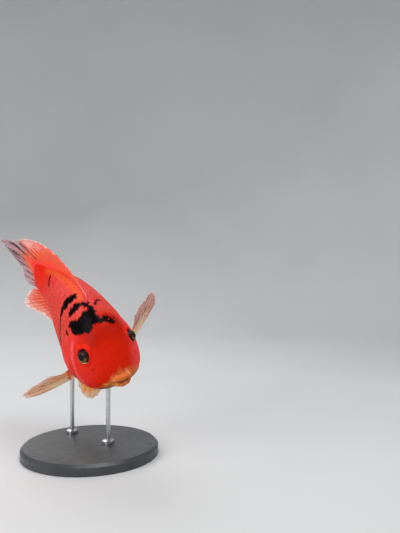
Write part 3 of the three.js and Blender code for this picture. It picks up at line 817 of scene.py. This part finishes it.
def scale_roots():
    """Every scale's distance from the snout, row, share, and distance behind the first ones."""
    roots = []
    at, column = SCALES_FROM, 0
    while at < SCALES_TO:
        for row in range(-40 + column % 2, 41, 2):
            share = row_share(at, row)
            if 0.004 < share < 0.996:
                roots.append([at, row, share])
        at += scale_pitch(at) / 2
        column += 1
    at, row, share = np.array(roots).T
    behind = at - scales_start(plain_skin(at, share)[0][:, 2])
    return np.stack([at, row, share, behind], 1)[behind > 0]


SCALE_ROOTS = scale_roots()


def build_scales(name, side, lowest, highest):
    """The scales of one side, in the rows between two shares of the way round."""
    roots = SCALE_ROOTS[(SCALE_ROOTS[:, 2] >= lowest) & (SCALE_ROOTS[:, 2] < highest)]
    root_at, root_row, _, behind = roots.T[..., None]
    count = len(roots)
    jitter = RNG.normal(0, 1, (count, 4))
    longer, wider, higher, tone = jitter.T[..., None]
    line = np.linspace(-1, 1, SCALE_GRID)
    a, b = (value.ravel() for value in np.meshgrid(line, line, indexing="ij"))
    back = a * np.sqrt(1 - b * b / 2)
    across = b * np.sqrt(1 - a * a / 2) * mix(0.86, 1, smoothstep(-1, -0.1, back))
    points = len(a)
    pitch = scale_pitch(root_at)
    at = root_at + 0.5 * SCALE_LONG * pitch * back * (1 + 0.03 * longer)
    share = row_share(at, root_row + SCALE_WIDE * across * (1 + 0.03 * wider)).ravel()
    beyond = np.maximum(at.ravel() - LENGTH, 0)
    at = np.minimum(at.ravel(), LENGTH)
    places, normals = skin_surface(at, share, side)
    places[:, 0] += beyond
    fade = smoothstep(0, 9, behind)
    size = pitch / SCALE_SIZE
    lift = mix(-0.34, 0.32, (back + 1) / 2) + 0.10 * (1 - across**2) * (back > -0.5)
    lift = lift * size * mix(0.5, 1, fade) + 0.03 * higher - 0.24 * (1 - fade)
    thick = SCALE_THICK * size * (1 - 0.75 * np.maximum(np.abs(a), np.abs(b)) ** 4)
    faces = [places + normals * height.reshape(-1, 1) for height in (lift, lift - thick)]
    fish = np.concatenate([face.reshape(count, points, 3) for face in faces], 1).reshape(-1, 3)
    starts = np.arange(count)[:, None, None] * 2 * points
    quads = plate_quads(SCALE_GRID, SCALE_GRID)[:, ::side] + starts
    made = mesh_object(name, to_world(fish), quads)
    both = [np.repeat(value.reshape(count, 1, -1), 2, 1).ravel() for value in (at, share)]
    add_markings(made, fish, *both, side)
    add_values(
        made, edge=np.tile(smoothstep(0.62, 1.0, np.hypot(back, across)), 2 * count),
        focus=np.tile(np.hypot(back + 0.3, across), 2 * count), tone=np.repeat(tone, 2 * points),
    )
    vertex = read_numbers(made.data.loops, "vertex_index")
    patch = np.stack([back, across], 1) * ROOT_PATCH / 2
    root_place = unwrap(roots[:, 0], roots[:, 2], side)
    add_bake_map(made, root_place[vertex // (2 * points)] + patch[vertex % points])
    return made


# The fins. Root and margin run from the leading ray to the last, and the first rays of some
# fins are spines, which don't branch. "bow" is how far the first and last rays bulge.

PELVIC_FIN = dict(
    rays=7, spines=1, rows=44, notch=0.03,
    root=[[52.5, 6.8, -32.4], [59.5, 5.6, -32.8]],
    margin=[
        [42.2, 6, -60.5], [43.4, 10, -67.6], [46.8, 15, -72], [52.6, 18.4, -73],
        [60.5, 20, -69.5], [66.5, 19.4, -60],
    ],
    bow=[[1.5, 0, 0], [-1, 0, 0]],
)
FINS = {
    "dorsal_fin": dict(
        rays=22, spines=14, rows=40, thick=0.95,
        root=[[57, 0, 37.4], [85, 0, 37.6], [115, 0, 30.2], [143, 0, 20.6]],
        margin=[
            [61, 0.3, 43.2], [76, 1, 43.8], [92, 2, 44.4], [108, 3, 45], [124, 4, 45.4],
            [140, 4.5, 44.2], [156, 4.6, 41.2], [169, 4, 36.6], [177, 3.2, 29.2],
            [168, 1.8, 24.8], [156, 0.4, 22.4],
        ],
        bow=[[2, 0, 2], [2, 0, 2]],
    ),
    "anal_fin": dict(
        rays=15, spines=5, rows=44,
        root=[[101, 0, -26.4], [120, 0, -18.8], [142, 0, -12.2]],
        margin=[
            [104, -1.6, -34.6], [113, -3, -41], [126, -4.6, -44.4], [140, -5.2, -43.4],
            [153, -5, -45], [163, -4.6, -47.4], [165.5, -4.2, -42.6], [162, -3, -29],
            [156, -1.2, -17],
        ],
        bow=[[2, 0, -2], [2, 0, -2]],
    ),
    "caudal_fin": dict(
        rays=17, spines=0, rows=66, notch=0.03,
        root=[[146, 0, 20.2], [148.5, 0, 4], [147, 0, -12]],
        margin=[
            [176, -0.5, 33], [195, 0.2, 24], [190.5, 3.6, 12.6], [184.5, 7.4, -0.5],
            [179.5, 12, -13], [179.5, 14.8, -26], [177.5, 15.6, -35], [168, 13, -35],
        ],
        bow=[[0, -0.4, 2.4], [0, 1.4, -1]],
    ),
    "pectoral_fin_left": dict(
        rays=12, spines=1, rows=56, thick=0.8,
        root=[[49, 24, -29], [51.5, 25.6, -17]],
        margin=[
            [64.3, 67.2, -1.2], [67.6, 69.6, 5.8], [68.6, 68.1, 9.6], [67.9, 64.1, 11],
            [65.1, 57.7, 8.8], [62, 48.5, 4.5], [58.6, 41.8, 0],
        ],
        bow=[[2, 2.6, -3], [-1.5, 2, -2.5]],
    ),
    "pectoral_fin_right": dict(
        rays=12, spines=1, rows=56, thick=0.8,
        root=[[48.5, -19, -32.4], [51.5, -25.4, -20]],
        margin=[
            [60.2, -62.1, -49.5], [62.8, -70.3, -49.2], [64.7, -72, -46.9],
            [63.2, -69.8, -42.4], [60.5, -63.2, -36.2], [56.8, -54.3, -29.5],
            [53.5, -45.5, -23.9],
        ],
        bow=[[1, -1.5, -3], [-1.5, 0, -3.5]],
    ),
    "pelvic_fin_left": PELVIC_FIN,
    "pelvic_fin_right": PELVIC_FIN | {
        key: np.multiply(PELVIC_FIN[key], [1, -1, 1]) for key in ("root", "margin", "bow")
    },
}
COLUMNS_PER_RAY = 14
WEB_THICK = 0.2
FIN_REACH = 0.985


def ray_relief(offset, out, spine):
    """How high a ray stands, 0 to 1; a soft ray forks twice on its way to the margin."""
    first = 0.2 * smoothstep(0.3, 0.72, out) * ~spine
    second = 0.09 * smoothstep(0.66, 0.95, out) * ~spine
    width = mix(0.17, np.where(spine, 0.12, 0.062), out**0.8)
    forks = [a * first + b * second for a in (-1, 1) for b in (-1, 1)]
    return np.max([bell(offset - fork, width) for fork in forks], axis=0)


def build_fin(name, rays, spines, rows, root, margin, bow, notch=0.035, thick=0.9):
    """A membrane with its rays in one closed sheet, ragged along the margin."""
    columns = (rays - 1) * COLUMNS_PER_RAY + 1
    rng = np.random.default_rng(len(name) + 3 * rays)
    number = np.linspace(0, rays - 1, columns)[:, None]
    along = number / number[-1]
    nearest = np.round(number).astype(int)
    spine = nearest < spines
    uneven = rng.normal(0, 0.006, rays)[nearest]
    gap = np.abs(np.sin(np.pi * number)) ** 1.4
    frayed = 0.008 * noise(number * [7, 0, 0], 1.0, 5)[:, None]
    reach = np.minimum(FIN_REACH - np.abs(uneven) - notch * gap + frayed, 1)
    out = np.linspace(0, 1, rows + 1) * reach
    root, margin = even_curve(root, columns)[:, None], even_curve(margin, columns)[:, None]
    first, last = np.array(bow, dtype=float)
    sheet = mix(root, margin, out[..., None])
    sheet = sheet + mix(first, last, along)[:, None] * (4 * out * (1 - out))[..., None]
    normal = unit(np.cross(np.gradient(sheet, axis=0), np.gradient(sheet, axis=1)))
    relief = ray_relief(number - nearest, out, spine)
    joints = 1 - 0.12 * (np.sin(out * 70) > 0.82) * (relief > 0.4) * (out > 0.25) * ~spine
    full = mix(WEB_THICK, thick * mix(1, 0.42, out) * joints, relief)[..., None]
    ripple = 0.35 * smoothstep(0.1, 0.8, out) * np.sin(2 * np.pi * number) * (1 - relief)
    spots = np.stack([0.8 * number + 0 * out, 3 * out, 0 * out], -1).reshape(-1, 3)
    ripple += 0.5 * smoothstep(0.2, 1, out) * noise(spots, 1.0, 9).reshape(out.shape)
    sheet = sheet + normal * ripple[..., None]
    fish = np.concatenate([sheet + normal * full / 2, sheet - normal * full / 2]).reshape(-1, 3)
    made = mesh_object(name, to_world(fish), plate_quads(columns, rows + 1))
    add_values(
        made, fish=fish, out=np.tile(out.ravel() / reach.max(), 2),
        ray=np.tile(relief.ravel(), 2), along=np.tile(np.repeat(along, rows + 1), 2),
    )
    return made


# The eyes: a ball with a domed iris and a lens that bulges from the pupil

PUPIL = 2.9
IRIS = 5.3
EYEBALL = 6.85
IRIS_DOME = 6.7
LENS_BASE, LENS_RISE = 6.2, 0.75
EYE_SIDES = 72


def eye_profile():
    """Distance from the axis and height above the ball's middle, from the pupil outwards."""
    lens, iris = np.linspace(0, PUPIL, 14), np.linspace(PUPIL + 0.12, IRIS, 18)
    turn = np.linspace(math.asin((IRIS + 0.05) / EYEBALL), math.pi, 40)
    return np.hstack([
        [lens, LENS_BASE + LENS_RISE * np.sqrt(1 - (lens / PUPIL) ** 2)],
        [iris, np.sqrt(IRIS_DOME**2 - iris**2)],
        [EYEBALL * np.sin(turn), EYEBALL * np.cos(turn)],
    ]).T


def build_eye(name, surface, axis):
    """The profile turned about the eye's axis, with a point at each end."""
    centre = surface - axis * EYE_SUNK
    side = unit(np.cross(axis, [0, 0, 1]))
    angle = np.linspace(0, 2 * np.pi, EYE_SIDES, endpoint=False)[:, None]
    ring = side * np.cos(angle) + np.cross(axis, side) * np.sin(angle)
    profile = eye_profile()
    rows = len(profile) - 2
    reach, height = profile[1:-1].T[..., None, None]
    fish = np.vstack([
        (centre + reach * ring + height * axis).reshape(-1, 3),
        centre + profile[[0, -1], 1:] * axis,
    ])
    quads = grid_quads(rows, EYE_SIDES, closed=True)
    eye = mesh_object(name, to_world(fish), quads, tip_fans(rows, EYE_SIDES))
    flat = off_axis(fish, centre, axis)
    add_values(eye, fish=fish, radius=length_of(flat), lower=-flat[:, 2], ahead=-flat[:, 0])
    return eye


# Materials


class Signal:
    """The output of a node. Sums with it make further nodes."""

    def __init__(self, look, socket):
        self.look, self.socket = look, socket

    def __add__(self, other):
        return self.look.maths("ADD", self, other)

    def __sub__(self, other):
        return self.look.maths("SUBTRACT", self, other)

    def __rsub__(self, other):
        return self.look.maths("SUBTRACT", other, self)

    def __mul__(self, other):
        return self.look.maths("MULTIPLY", self, other)

    def span(self, low, high, to_low=0.0, to_high=1.0):
        """Runs softly from to_low to to_high while the signal runs from low to high."""
        ends = {"From Min": low, "From Max": high, "To Min": to_low, "To Max": to_high}
        inputs = {"Value": self, **ends}
        return self.look.node("MapRange", "Result", inputs, interpolation_type="SMOOTHSTEP")


class Look:
    """A material under construction, whose base colour is painted in layers."""

    def __init__(self, name, base, on_fish=True):
        self.material = bpy.data.materials.new(name)
        self.material.use_nodes = True
        self.tree = self.material.node_tree
        self.shader = self.tree.nodes["Principled BSDF"]
        self.base = base
        self.place = self.value("fish", "Vector") if on_fish else self.node("TexCoord", "Object")

    def node(self, kind, output, inputs=(), **settings):
        made = self.tree.nodes.new(f"ShaderNode{kind}")
        for key, value in settings.items():
            setattr(made, key, value)
        for key, value in dict(inputs).items():
            self.feed(made.inputs[key], value)
        return Signal(self, made.outputs[output])

    def feed(self, socket, value):
        if isinstance(value, Signal):
            self.tree.links.new(value.socket, socket)
        else:
            socket.default_value = value

    def value(self, name, output="Fac"):
        return self.node("Attribute", output, attribute_name=name)

    def noise(self, scale, detail=3.0, rough=0.55, warp=0.0, place=None):
        inputs = {"Vector": place or self.place, "Scale": scale, "Detail": detail}
        return self.node("TexNoise", "Fac", inputs | {"Roughness": rough, "Distortion": warp})

    def maths(self, operation, a, b=0.0):
        return self.node("Math", 0, {0: a, 1: b}, operation=operation)

    def mixed(self, share, a, b):
        return self.node("Mix", "Result", {"Factor": share, "A": a, "B": b}, data_type="RGBA")

    def paint(self, share, tint):
        self.base = self.mixed(share, self.base, tint)

    def finish(self, bump=None, **values):
        """Sets the shader's inputs; bump is a height, a strength and a distance."""
        if bump:
            inputs = dict(zip(("Height", "Strength", "Distance"), bump))
            values["normal"] = self.node("Bump", "Normal", inputs)
        for name, value in (values | {"base_color": self.base}).items():
            socket = name.replace("_", " ").title().replace("Ior", "IOR")
            self.feed(self.shader.inputs[socket], value)
        return self.material


def colour(red, green, blue):
    """A colour as seen on screen, 0 to 255, as light values."""
    return tuple(
        c / 12.92 if c <= 0.04045 else ((c + 0.055) / 1.055) ** 2.4
        for c in (red / 255, green / 255, blue / 255)
    ) + (1.0,)


FACE_RED = colour(224, 32, 6)
DUSK_RED = colour(120, 10, 3)
MOTTLE_RED = colour(176, 16, 6)
CHEEK_PINK = colour(240, 58, 56)
BLUSH_PINK = colour(254, 78, 72)
RIDGE_PINK = colour(250, 120, 128)
BROW_RED = colour(248, 44, 14)
TRUNK_RED = colour(232, 62, 50)
TAIL_ORANGE = colour(255, 28, 4)
STREAK_ORANGE = colour(255, 96, 36)
FLECK_ORANGE = colour(255, 110, 70)
BACK_PINK = colour(246, 78, 84)
SCALE_EDGE = colour(186, 22, 14)
SCALE_PINK = colour(255, 120, 104)
MUZZLE_OCHRE = colour(206, 118, 50)
MUZZLE_CREAM = colour(240, 182, 122)
LIP_SALMON = colour(236, 104, 58)
LIP_PALE = colour(250, 226, 196)
CHIN_OLIVE = colour(126, 86, 44)
BLACK = colour(5, 2, 3)
MOUTH_DARK = colour(104, 24, 6)
SLIT_DARK = colour(110, 10, 10)
FIN_ORANGE = colour(244, 82, 34)
RAY_CREAM = colour(255, 224, 196)
MAUVE = colour(70, 44, 66)
NIGHT = colour(30, 16, 30)
BROWN = colour(92, 48, 40)
CREAM = colour(255, 226, 200)


def flesh_look(name, scaly):
    """Red skin: redder on the face, pink on the back with a painted highlight along the top, orange
    at the tail, black in patches; painted highlights and painted shade on the head.
    """
    look = Look(name, FACE_RED)
    at, side, up = (look.node("SeparateXYZ", axis, {0: look.place}) for axis in "XYZ")
    look.paint(at.span(34, 54), TRUNK_RED)
    look.paint(at.span(104, 142), TAIL_ORANGE)
    # Pink on the upper back, partly the fish's own pink and partly a painted highlight from the
    # light above.
    pink = up.span(14, 36) * at.span(44, 62) * at.span(128, 100)
    look.paint(pink * look.noise(0.09, 2).span(0.3, 0.65, 0.3, 0.9), BACK_PINK)
    look.paint(look.value("cheek") * 0.85, CHEEK_PINK)
    blush = (side - at * 0.5).span(4.5, 12) * at.span(44, 32)
    look.paint(blush * look.noise(0.16, 2).span(0.3, 0.7, 0.4, 0.85), BLUSH_PINK)
    look.paint(look.value("streak") * 0.8, STREAK_ORANGE)
    look.paint(look.noise(0.30, 4, 0.6).span(0.3, 0.7) * 0.18, MOTTLE_RED)
    look.paint(look.noise(1.6).span(0.4, 0.72) * 0.08, FLECK_ORANGE)
    # Painted highlight along the cheek ridge and the edge of the flank.
    look.paint(look.value("ridge") * 0.52, RIDGE_PINK)
    # Painted shade on the forehead and the low right cheek, and painted shadow under the brow.
    look.paint(look.value("dusk") * 0.55, DUSK_RED)
    # Painted highlight on the brow over the eye.
    look.paint(look.value("brow") * 0.75, BROW_RED)
    if scaly:
        look.paint(look.value("edge") * 0.28, SCALE_EDGE)
        tone = look.value("tone").span(-2, 2, 0.0, 0.22) * at.span(135, 115, 0.3, 1.0)
        look.paint(tone, SCALE_PINK)
    ochre = look.mixed(look.noise(0.20, 2).span(0.42, 0.62, 0, 0.6), MUZZLE_OCHRE, LIP_SALMON)
    ochre = look.mixed(look.noise(0.26, 1).span(0.48, 0.70, 0, 0.6), ochre, MUZZLE_CREAM)
    chin = up.span(-4, -9) * look.noise(0.22, 2).span(0.3, 0.6)
    look.paint(look.value("muzzle"), look.mixed(chin * 0.8, ochre, CHIN_OLIVE))
    # Painted highlights on the lumps of the lips, painted shade in the gill slit and in the mouth,
    # nostrils and eye grooves; the pale lip rims and the black patches are the fish's own.
    for mask, share, tint in (
        ("salmon", 0.7, LIP_SALMON), ("pale", 0.8, LIP_PALE), ("slit", 0.7, SLIT_DARK),
        ("dark", 1.0, BLACK), ("hollow", 1.0, MOUTH_DARK),
    ):
        look.paint(look.value(mask) * share, tint)
    if scaly:
        rings = look.maths("SINE", look.value("focus") * 42.0)
        bump = (rings * 0.35 + look.noise(2.2), 0.14, 0.0003)
    else:
        bump = (look.noise(1.1, 5, 0.6), 0.16, 0.0005)
    return look.finish(
        bump, specular_ior_level=0.02, roughness=look.noise(0.8).span(0.3, 0.7, 0.38, 0.54),
        subsurface_weight=0.12, subsurface_radius=(1.0, 0.22, 0.12), subsurface_scale=0.0014,
        coat_weight=0.06, coat_roughness=0.3,
    )


def fin_look(
    name, tints, bounds, clear, streak=None, dark_line=0.0, tip=None, lanes=(), glow_edge=None,
    glow=0.0, pale=0.16,
):
    """A fin whose tints follow each other from root to margin, over rays and a clearer web."""
    look = Look(name, tints[0])
    out, ray, along = (look.value(value) for value in ("out", "ray", "along"))
    ragged = out + look.noise(0.22).span(0.3, 0.7, -0.09, 0.09)
    for tint, (low, high) in zip(tints[1:], bounds):
        look.paint(ragged.span(low, high), tint)
    if tip:
        tint, first, last = tip
        look.paint(ragged.span(0.45, 0.8) * along.span(first, last) * 0.85, tint)
    spread = look.node("CombineXYZ", 0, {0: along * 24.0, 1: out * 2.0})
    lane = look.noise(1.0, 3, 0.6, place=spread)
    look.paint(lane.span(0.3, 0.7, 0, 0.25), tints[0])
    bent = along + look.noise(0.3, 2).span(0.3, 0.7, -0.02, 0.02)
    for tint, middle, width, start, end in lanes:
        off = look.maths("ABSOLUTE", bent - middle)
        long = out.span(start, start + 0.15) * out.span(end, end - 0.12)
        look.paint(long * off.span(width, width * 0.4), tint)
    if streak:
        tint, share, start = streak
        look.paint(lane.span(0.50, 0.58) * out.span(start, start + 0.2) * share, tint)
    # Painted glow: light shining through the fin, painted as a pale band near its leading edge.
    if glow_edge:
        look.paint(
            along.span(0.5, 0.12) * ragged.span(0.08, 0.22) * ragged.span(0.75, 0.4), glow_edge
        )
    if dark_line:
        look.paint(out.span(0.86, 0.90) * out.span(0.95, 0.91) * dark_line, BLACK)
    look.paint(ray.span(0.3, 0.9) * pale, RAY_CREAM)
    thin = (1.0 - ray.span(0.05, 0.6)) * out.span(0.1, 0.6, 0.2, 1.0)
    return look.finish(
        (look.noise(1.8), 0.12, 0.0003), roughness=0.5, specular_ior_level=0.25,
        subsurface_weight=glow, subsurface_radius=(1.0, 0.6, 0.45), subsurface_scale=0.003,
        coat_weight=0.05, coat_roughness=0.25, alpha=1.0 - thin * clear,
    )


# A lane is a streak along the rays: its tint, its place across the fin and width, and where it
# starts and ends on the way out.

FIN_LOOKS = {
    "dorsal": dict(
        tints=[TAIL_ORANGE, FIN_ORANGE, colour(246, 112, 92), colour(250, 206, 196)],
        bounds=[(0.05, 0.4), (0.6, 0.88), (0.86, 0.98)], clear=0.2, dark_line=0.25,
        tip=(colour(252, 190, 182), 0.62, 0.8),
        lanes=[(NIGHT, 0.935, 0.012, 0.25, 0.98), (NIGHT, 0.42, 0.006, 0.7, 1.1)],
    ),
    "anal": dict(
        tints=[TAIL_ORANGE, FIN_ORANGE, colour(248, 150, 132), colour(254, 234, 230)],
        bounds=[(0.05, 0.35), (0.45, 0.72), (0.78, 0.95)], clear=0.22,
    ),
    "caudal": dict(
        tints=[TAIL_ORANGE, colour(252, 108, 66), colour(198, 146, 150), colour(192, 170, 184)],
        bounds=[(0.12, 0.4), (0.4, 0.6), (0.62, 0.95)], clear=0.35, streak=(MAUVE, 0.7, 0.3),
        lanes=[
            (NIGHT, 0.13, 0.05, 0.3, 0.95), (MAUVE, 0.33, 0.035, 0.35, 1.0),
            (MAUVE, 0.52, 0.04, 0.3, 0.95), (NIGHT, 0.70, 0.02, 0.25, 0.8),
            (NIGHT, 0.83, 0.025, 0.12, 0.6),
        ],
    ),
    # On the pectorals, the cream lanes are painted highlights along the rays.
    "pectoral_left": dict(
        tints=[TAIL_ORANGE, colour(255, 184, 136), colour(232, 168, 150), colour(212, 164, 160)],
        bounds=[(0.02, 0.12), (0.25, 0.5), (0.6, 0.95)], clear=0.36,
        streak=(colour(150, 84, 70), 0.4, 0.3), glow_edge=colour(255, 228, 186), glow=0.35,
        pale=0.3,
        lanes=[
            (NIGHT, 0.30, 0.03, 0.22, 0.8), (CREAM, 0.38, 0.02, 0.2, 0.9),
            (NIGHT, 0.48, 0.02, 0.3, 0.85), (CREAM, 0.56, 0.02, 0.3, 0.95),
            (NIGHT, 0.66, 0.03, 0.3, 0.85), (BROWN, 0.8, 0.02, 0.3, 0.8),
        ],
    ),
    "pectoral_right": dict(
        tints=[TAIL_ORANGE, colour(255, 164, 88), colour(255, 168, 136), colour(246, 198, 184)],
        bounds=[(0.1, 0.28), (0.25, 0.5), (0.66, 0.95)], clear=0.34,
        streak=(colour(196, 96, 72), 0.4, 0.35), glow_edge=colour(255, 212, 170), glow=0.8,
        pale=0.3,
        lanes=[
            (BROWN, 0.28, 0.016, 0.3, 0.95), (CREAM, 0.36, 0.02, 0.25, 0.9),
            (BROWN, 0.46, 0.018, 0.2, 0.9), (CREAM, 0.54, 0.02, 0.25, 0.9),
            (BROWN, 0.62, 0.016, 0.25, 0.85), (CREAM, 0.71, 0.02, 0.25, 0.9),
            (BROWN, 0.8, 0.016, 0.3, 0.8),
        ],
    ),
    "pelvic": dict(
        tints=[FIN_ORANGE, colour(255, 148, 50), colour(255, 176, 84), colour(255, 222, 184)],
        bounds=[(0.05, 0.3), (0.35, 0.7), (0.78, 0.97)], clear=0.08,
    ),
}
FIN_SLOTS = {"caudal": "tail_fin", "pectoral": "clear_fin"}


def eye_look():
    """A black pupil, a dark iris, olive low in front, and a thin pale ring at its lower edge."""
    look = Look("eye_iris", colour(40, 12, 4))
    radius, lower = look.value("radius"), look.value("lower")
    look.paint(look.noise(0.9, 3, 0.6, 0.4).span(0.3, 0.7), colour(74, 30, 10))
    look.paint((lower + look.value("ahead")).span(1.5, 4.5, 0, 0.85), colour(108, 92, 34))
    look.paint(radius.span(IRIS - 0.7, IRIS - 0.2), colour(30, 8, 4))
    rim = radius.span(IRIS - 0.5, IRIS - 0.1) * lower.span(1.2, 3.6)
    look.paint(rim * 0.85, colour(244, 196, 140))
    look.paint(radius.span(PUPIL + 0.7, PUPIL + 0.3) * 0.4, colour(120, 84, 40))
    look.paint(radius.span(PUPIL + 0.2, PUPIL), colour(2, 2, 3))
    return look.finish(
        roughness=0.4, specular_ior_level=0.02, coat_weight=0.6, coat_roughness=0.05, coat_ior=1.33
    )


def paint_look():
    """Satin dark paint with a fine orange-peel surface."""
    look = Look("satin_paint", colour(52, 54, 57), on_fish=False)
    look.paint(look.noise(40).span(0.3, 0.7), colour(64, 66, 69))
    rough = look.noise(160, 2).span(0.3, 0.7, 0.36, 0.5)
    bump = (look.noise(900, 2), 0.12, 0.0002)
    return look.finish(bump, roughness=rough, coat_weight=0.12, coat_roughness=0.25)


def steel_look():
    """Brushed steel, with its fine lines round the rod."""
    look = Look("brushed_steel", colour(190, 192, 195), on_fish=False)
    lines = look.node("Mapping", 0, {0: look.place, "Scale": (40, 40, 900)})
    lines = look.noise(1.0, place=lines)
    look.paint(lines.span(0.3, 0.7), colour(206, 208, 211))
    rough = lines.span(0.3, 0.7, 0.28, 0.36)
    return look.finish((lines, 0.03, 0.0001), metallic=1.0, roughness=rough)


# Put together

FLESH_NODES = ("head", "lower_jaw", "torso", "tail_stalk", "gill_cover_left", "gill_cover_right")
STAGE_SIDES = 96
STAGE_LEVEL = -0.0003
LIGHTS_AIM = np.array([0, 0, 0.11])


def finish_piece(made, material, slot, *nodes):
    made.data.materials.append(material)
    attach(made, "root")
    if nodes:
        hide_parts(*nodes)


def add_flesh():
    finish_piece(build_skin(), flesh_look("red_skin", False), "red_skin", *FLESH_NODES)
    scaly = flesh_look("red_scales", True)
    for side, sign in (("left", 1), ("right", -1)):
        for part, lowest, highest in (("back", 0, 0.46), ("belly", 0.46, 1)):
            scales = build_scales(f"scales_{side}_{part}", sign, lowest, highest)
            finish_piece(scales, scaly, "red_skin")


def add_eyes():
    iris = eye_look()
    for name, frame_of_eye in zip(("left", "right"), EYE_FRAMES):
        finish_piece(build_eye(f"eyeball_{name}", *frame_of_eye), iris, "eye", f"eye_{name}")


def add_fins():
    looks = {name: fin_look(name, **values) for name, values in FIN_LOOKS.items()}
    for name, fin in FINS.items():
        kind = name.split("_")[0]
        material = looks.get(name.replace("_fin", "")) or looks[kind]
        made = build_fin(f"{name}_rays", **fin)
        finish_piece(made, material, FIN_SLOTS.get(kind, "orange_fin"), name)


def add_stand():
    paint, steel = paint_look(), steel_look()
    for name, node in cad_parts.items():
        if name.startswith("stand_"):
            for slot in node.material_slots:
                slot.material = paint if name == "stand_base" else steel


def add_stage():
    """A pale round floor that curves up into a backdrop on every side."""
    turn = np.linspace(0, math.pi / 2, 24)
    bend = np.stack([0.9 + 0.6 * np.sin(turn), 0.6 - 0.6 * np.cos(turn)], 1)
    reach, height = np.vstack([[[0.05, 0], [0.45, 0]], bend, [[1.5, 1.7]]]).T[..., None]
    angle = np.linspace(0, 2 * np.pi, STAGE_SIDES, endpoint=False)
    rings = np.stack([reach * np.cos(angle), reach * np.sin(angle), height + 0 * angle], -1)
    places = np.vstack([rings.reshape(-1, 3), [[0, 0, 0]]]) + [0, 0, STAGE_LEVEL]
    middle = tip_fans(len(reach), STAGE_SIDES)[:STAGE_SIDES, [0, 2, 1]]
    quads = grid_quads(len(reach), STAGE_SIDES, closed=True)[:, ::-1]
    made = mesh_object("floor", places, quads, middle)
    look = Look("floor_pale", colour(206, 208, 210), on_fish=False)
    look.paint(look.noise(3, 2).span(0.3, 0.7), colour(212, 213, 214))
    made.data.materials.append(look.finish(roughness=0.75))
    made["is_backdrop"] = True


def add_light(name, place, size, power):
    light = bpy.data.lights.new(name, "AREA")
    light.shape = "DISK"
    light.size = size
    light.energy = power
    made = link(name, light)
    made.location = place
    made.visible_camera = False
    x, y, z = LIGHTS_AIM - place
    made.rotation_euler = (math.atan2(math.hypot(x, y), -z), 0, math.atan2(y, x) - math.pi / 2)


def add_lights():
    add_light("key", (0.25, -0.3, 1.1), 0.8, 7)
    add_light("fill", (-0.62, -0.6, 0.42), 0.6, 4.2)
    add_light("back", (-0.4, 0.8, 0.9), 0.7, 5)
    world = bpy.data.worlds.new("studio")
    world.use_nodes = True
    colour_input, strength_input = world.node_tree.nodes["Background"].inputs[:2]
    colour_input.default_value = (1.0, 0.98, 0.95, 1)
    strength_input.default_value = 0.3
    bpy.context.scene.world = world


def add_camera():
    camera = bpy.data.cameras.new("camera")
    camera.sensor_width = 36
    camera.lens = CAMERA_LENS
    camera.clip_start = 0.01
    made = link("camera", camera)
    made.location = CAMERA_PLACE
    made.rotation_euler = (math.pi / 2, 0, 0)
    bpy.context.scene.camera = made


add_camera()
add_flesh()
add_eyes()
add_fins()
add_stand()
add_stage()
add_lights()
bpy.context.scene.view_settings.view_transform = "Standard"

boxes = {"cad": CAD_BOX, "visual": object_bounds()}
{name: [list(map(float, corner)) for corner in box] for name, box in boxes.items()}
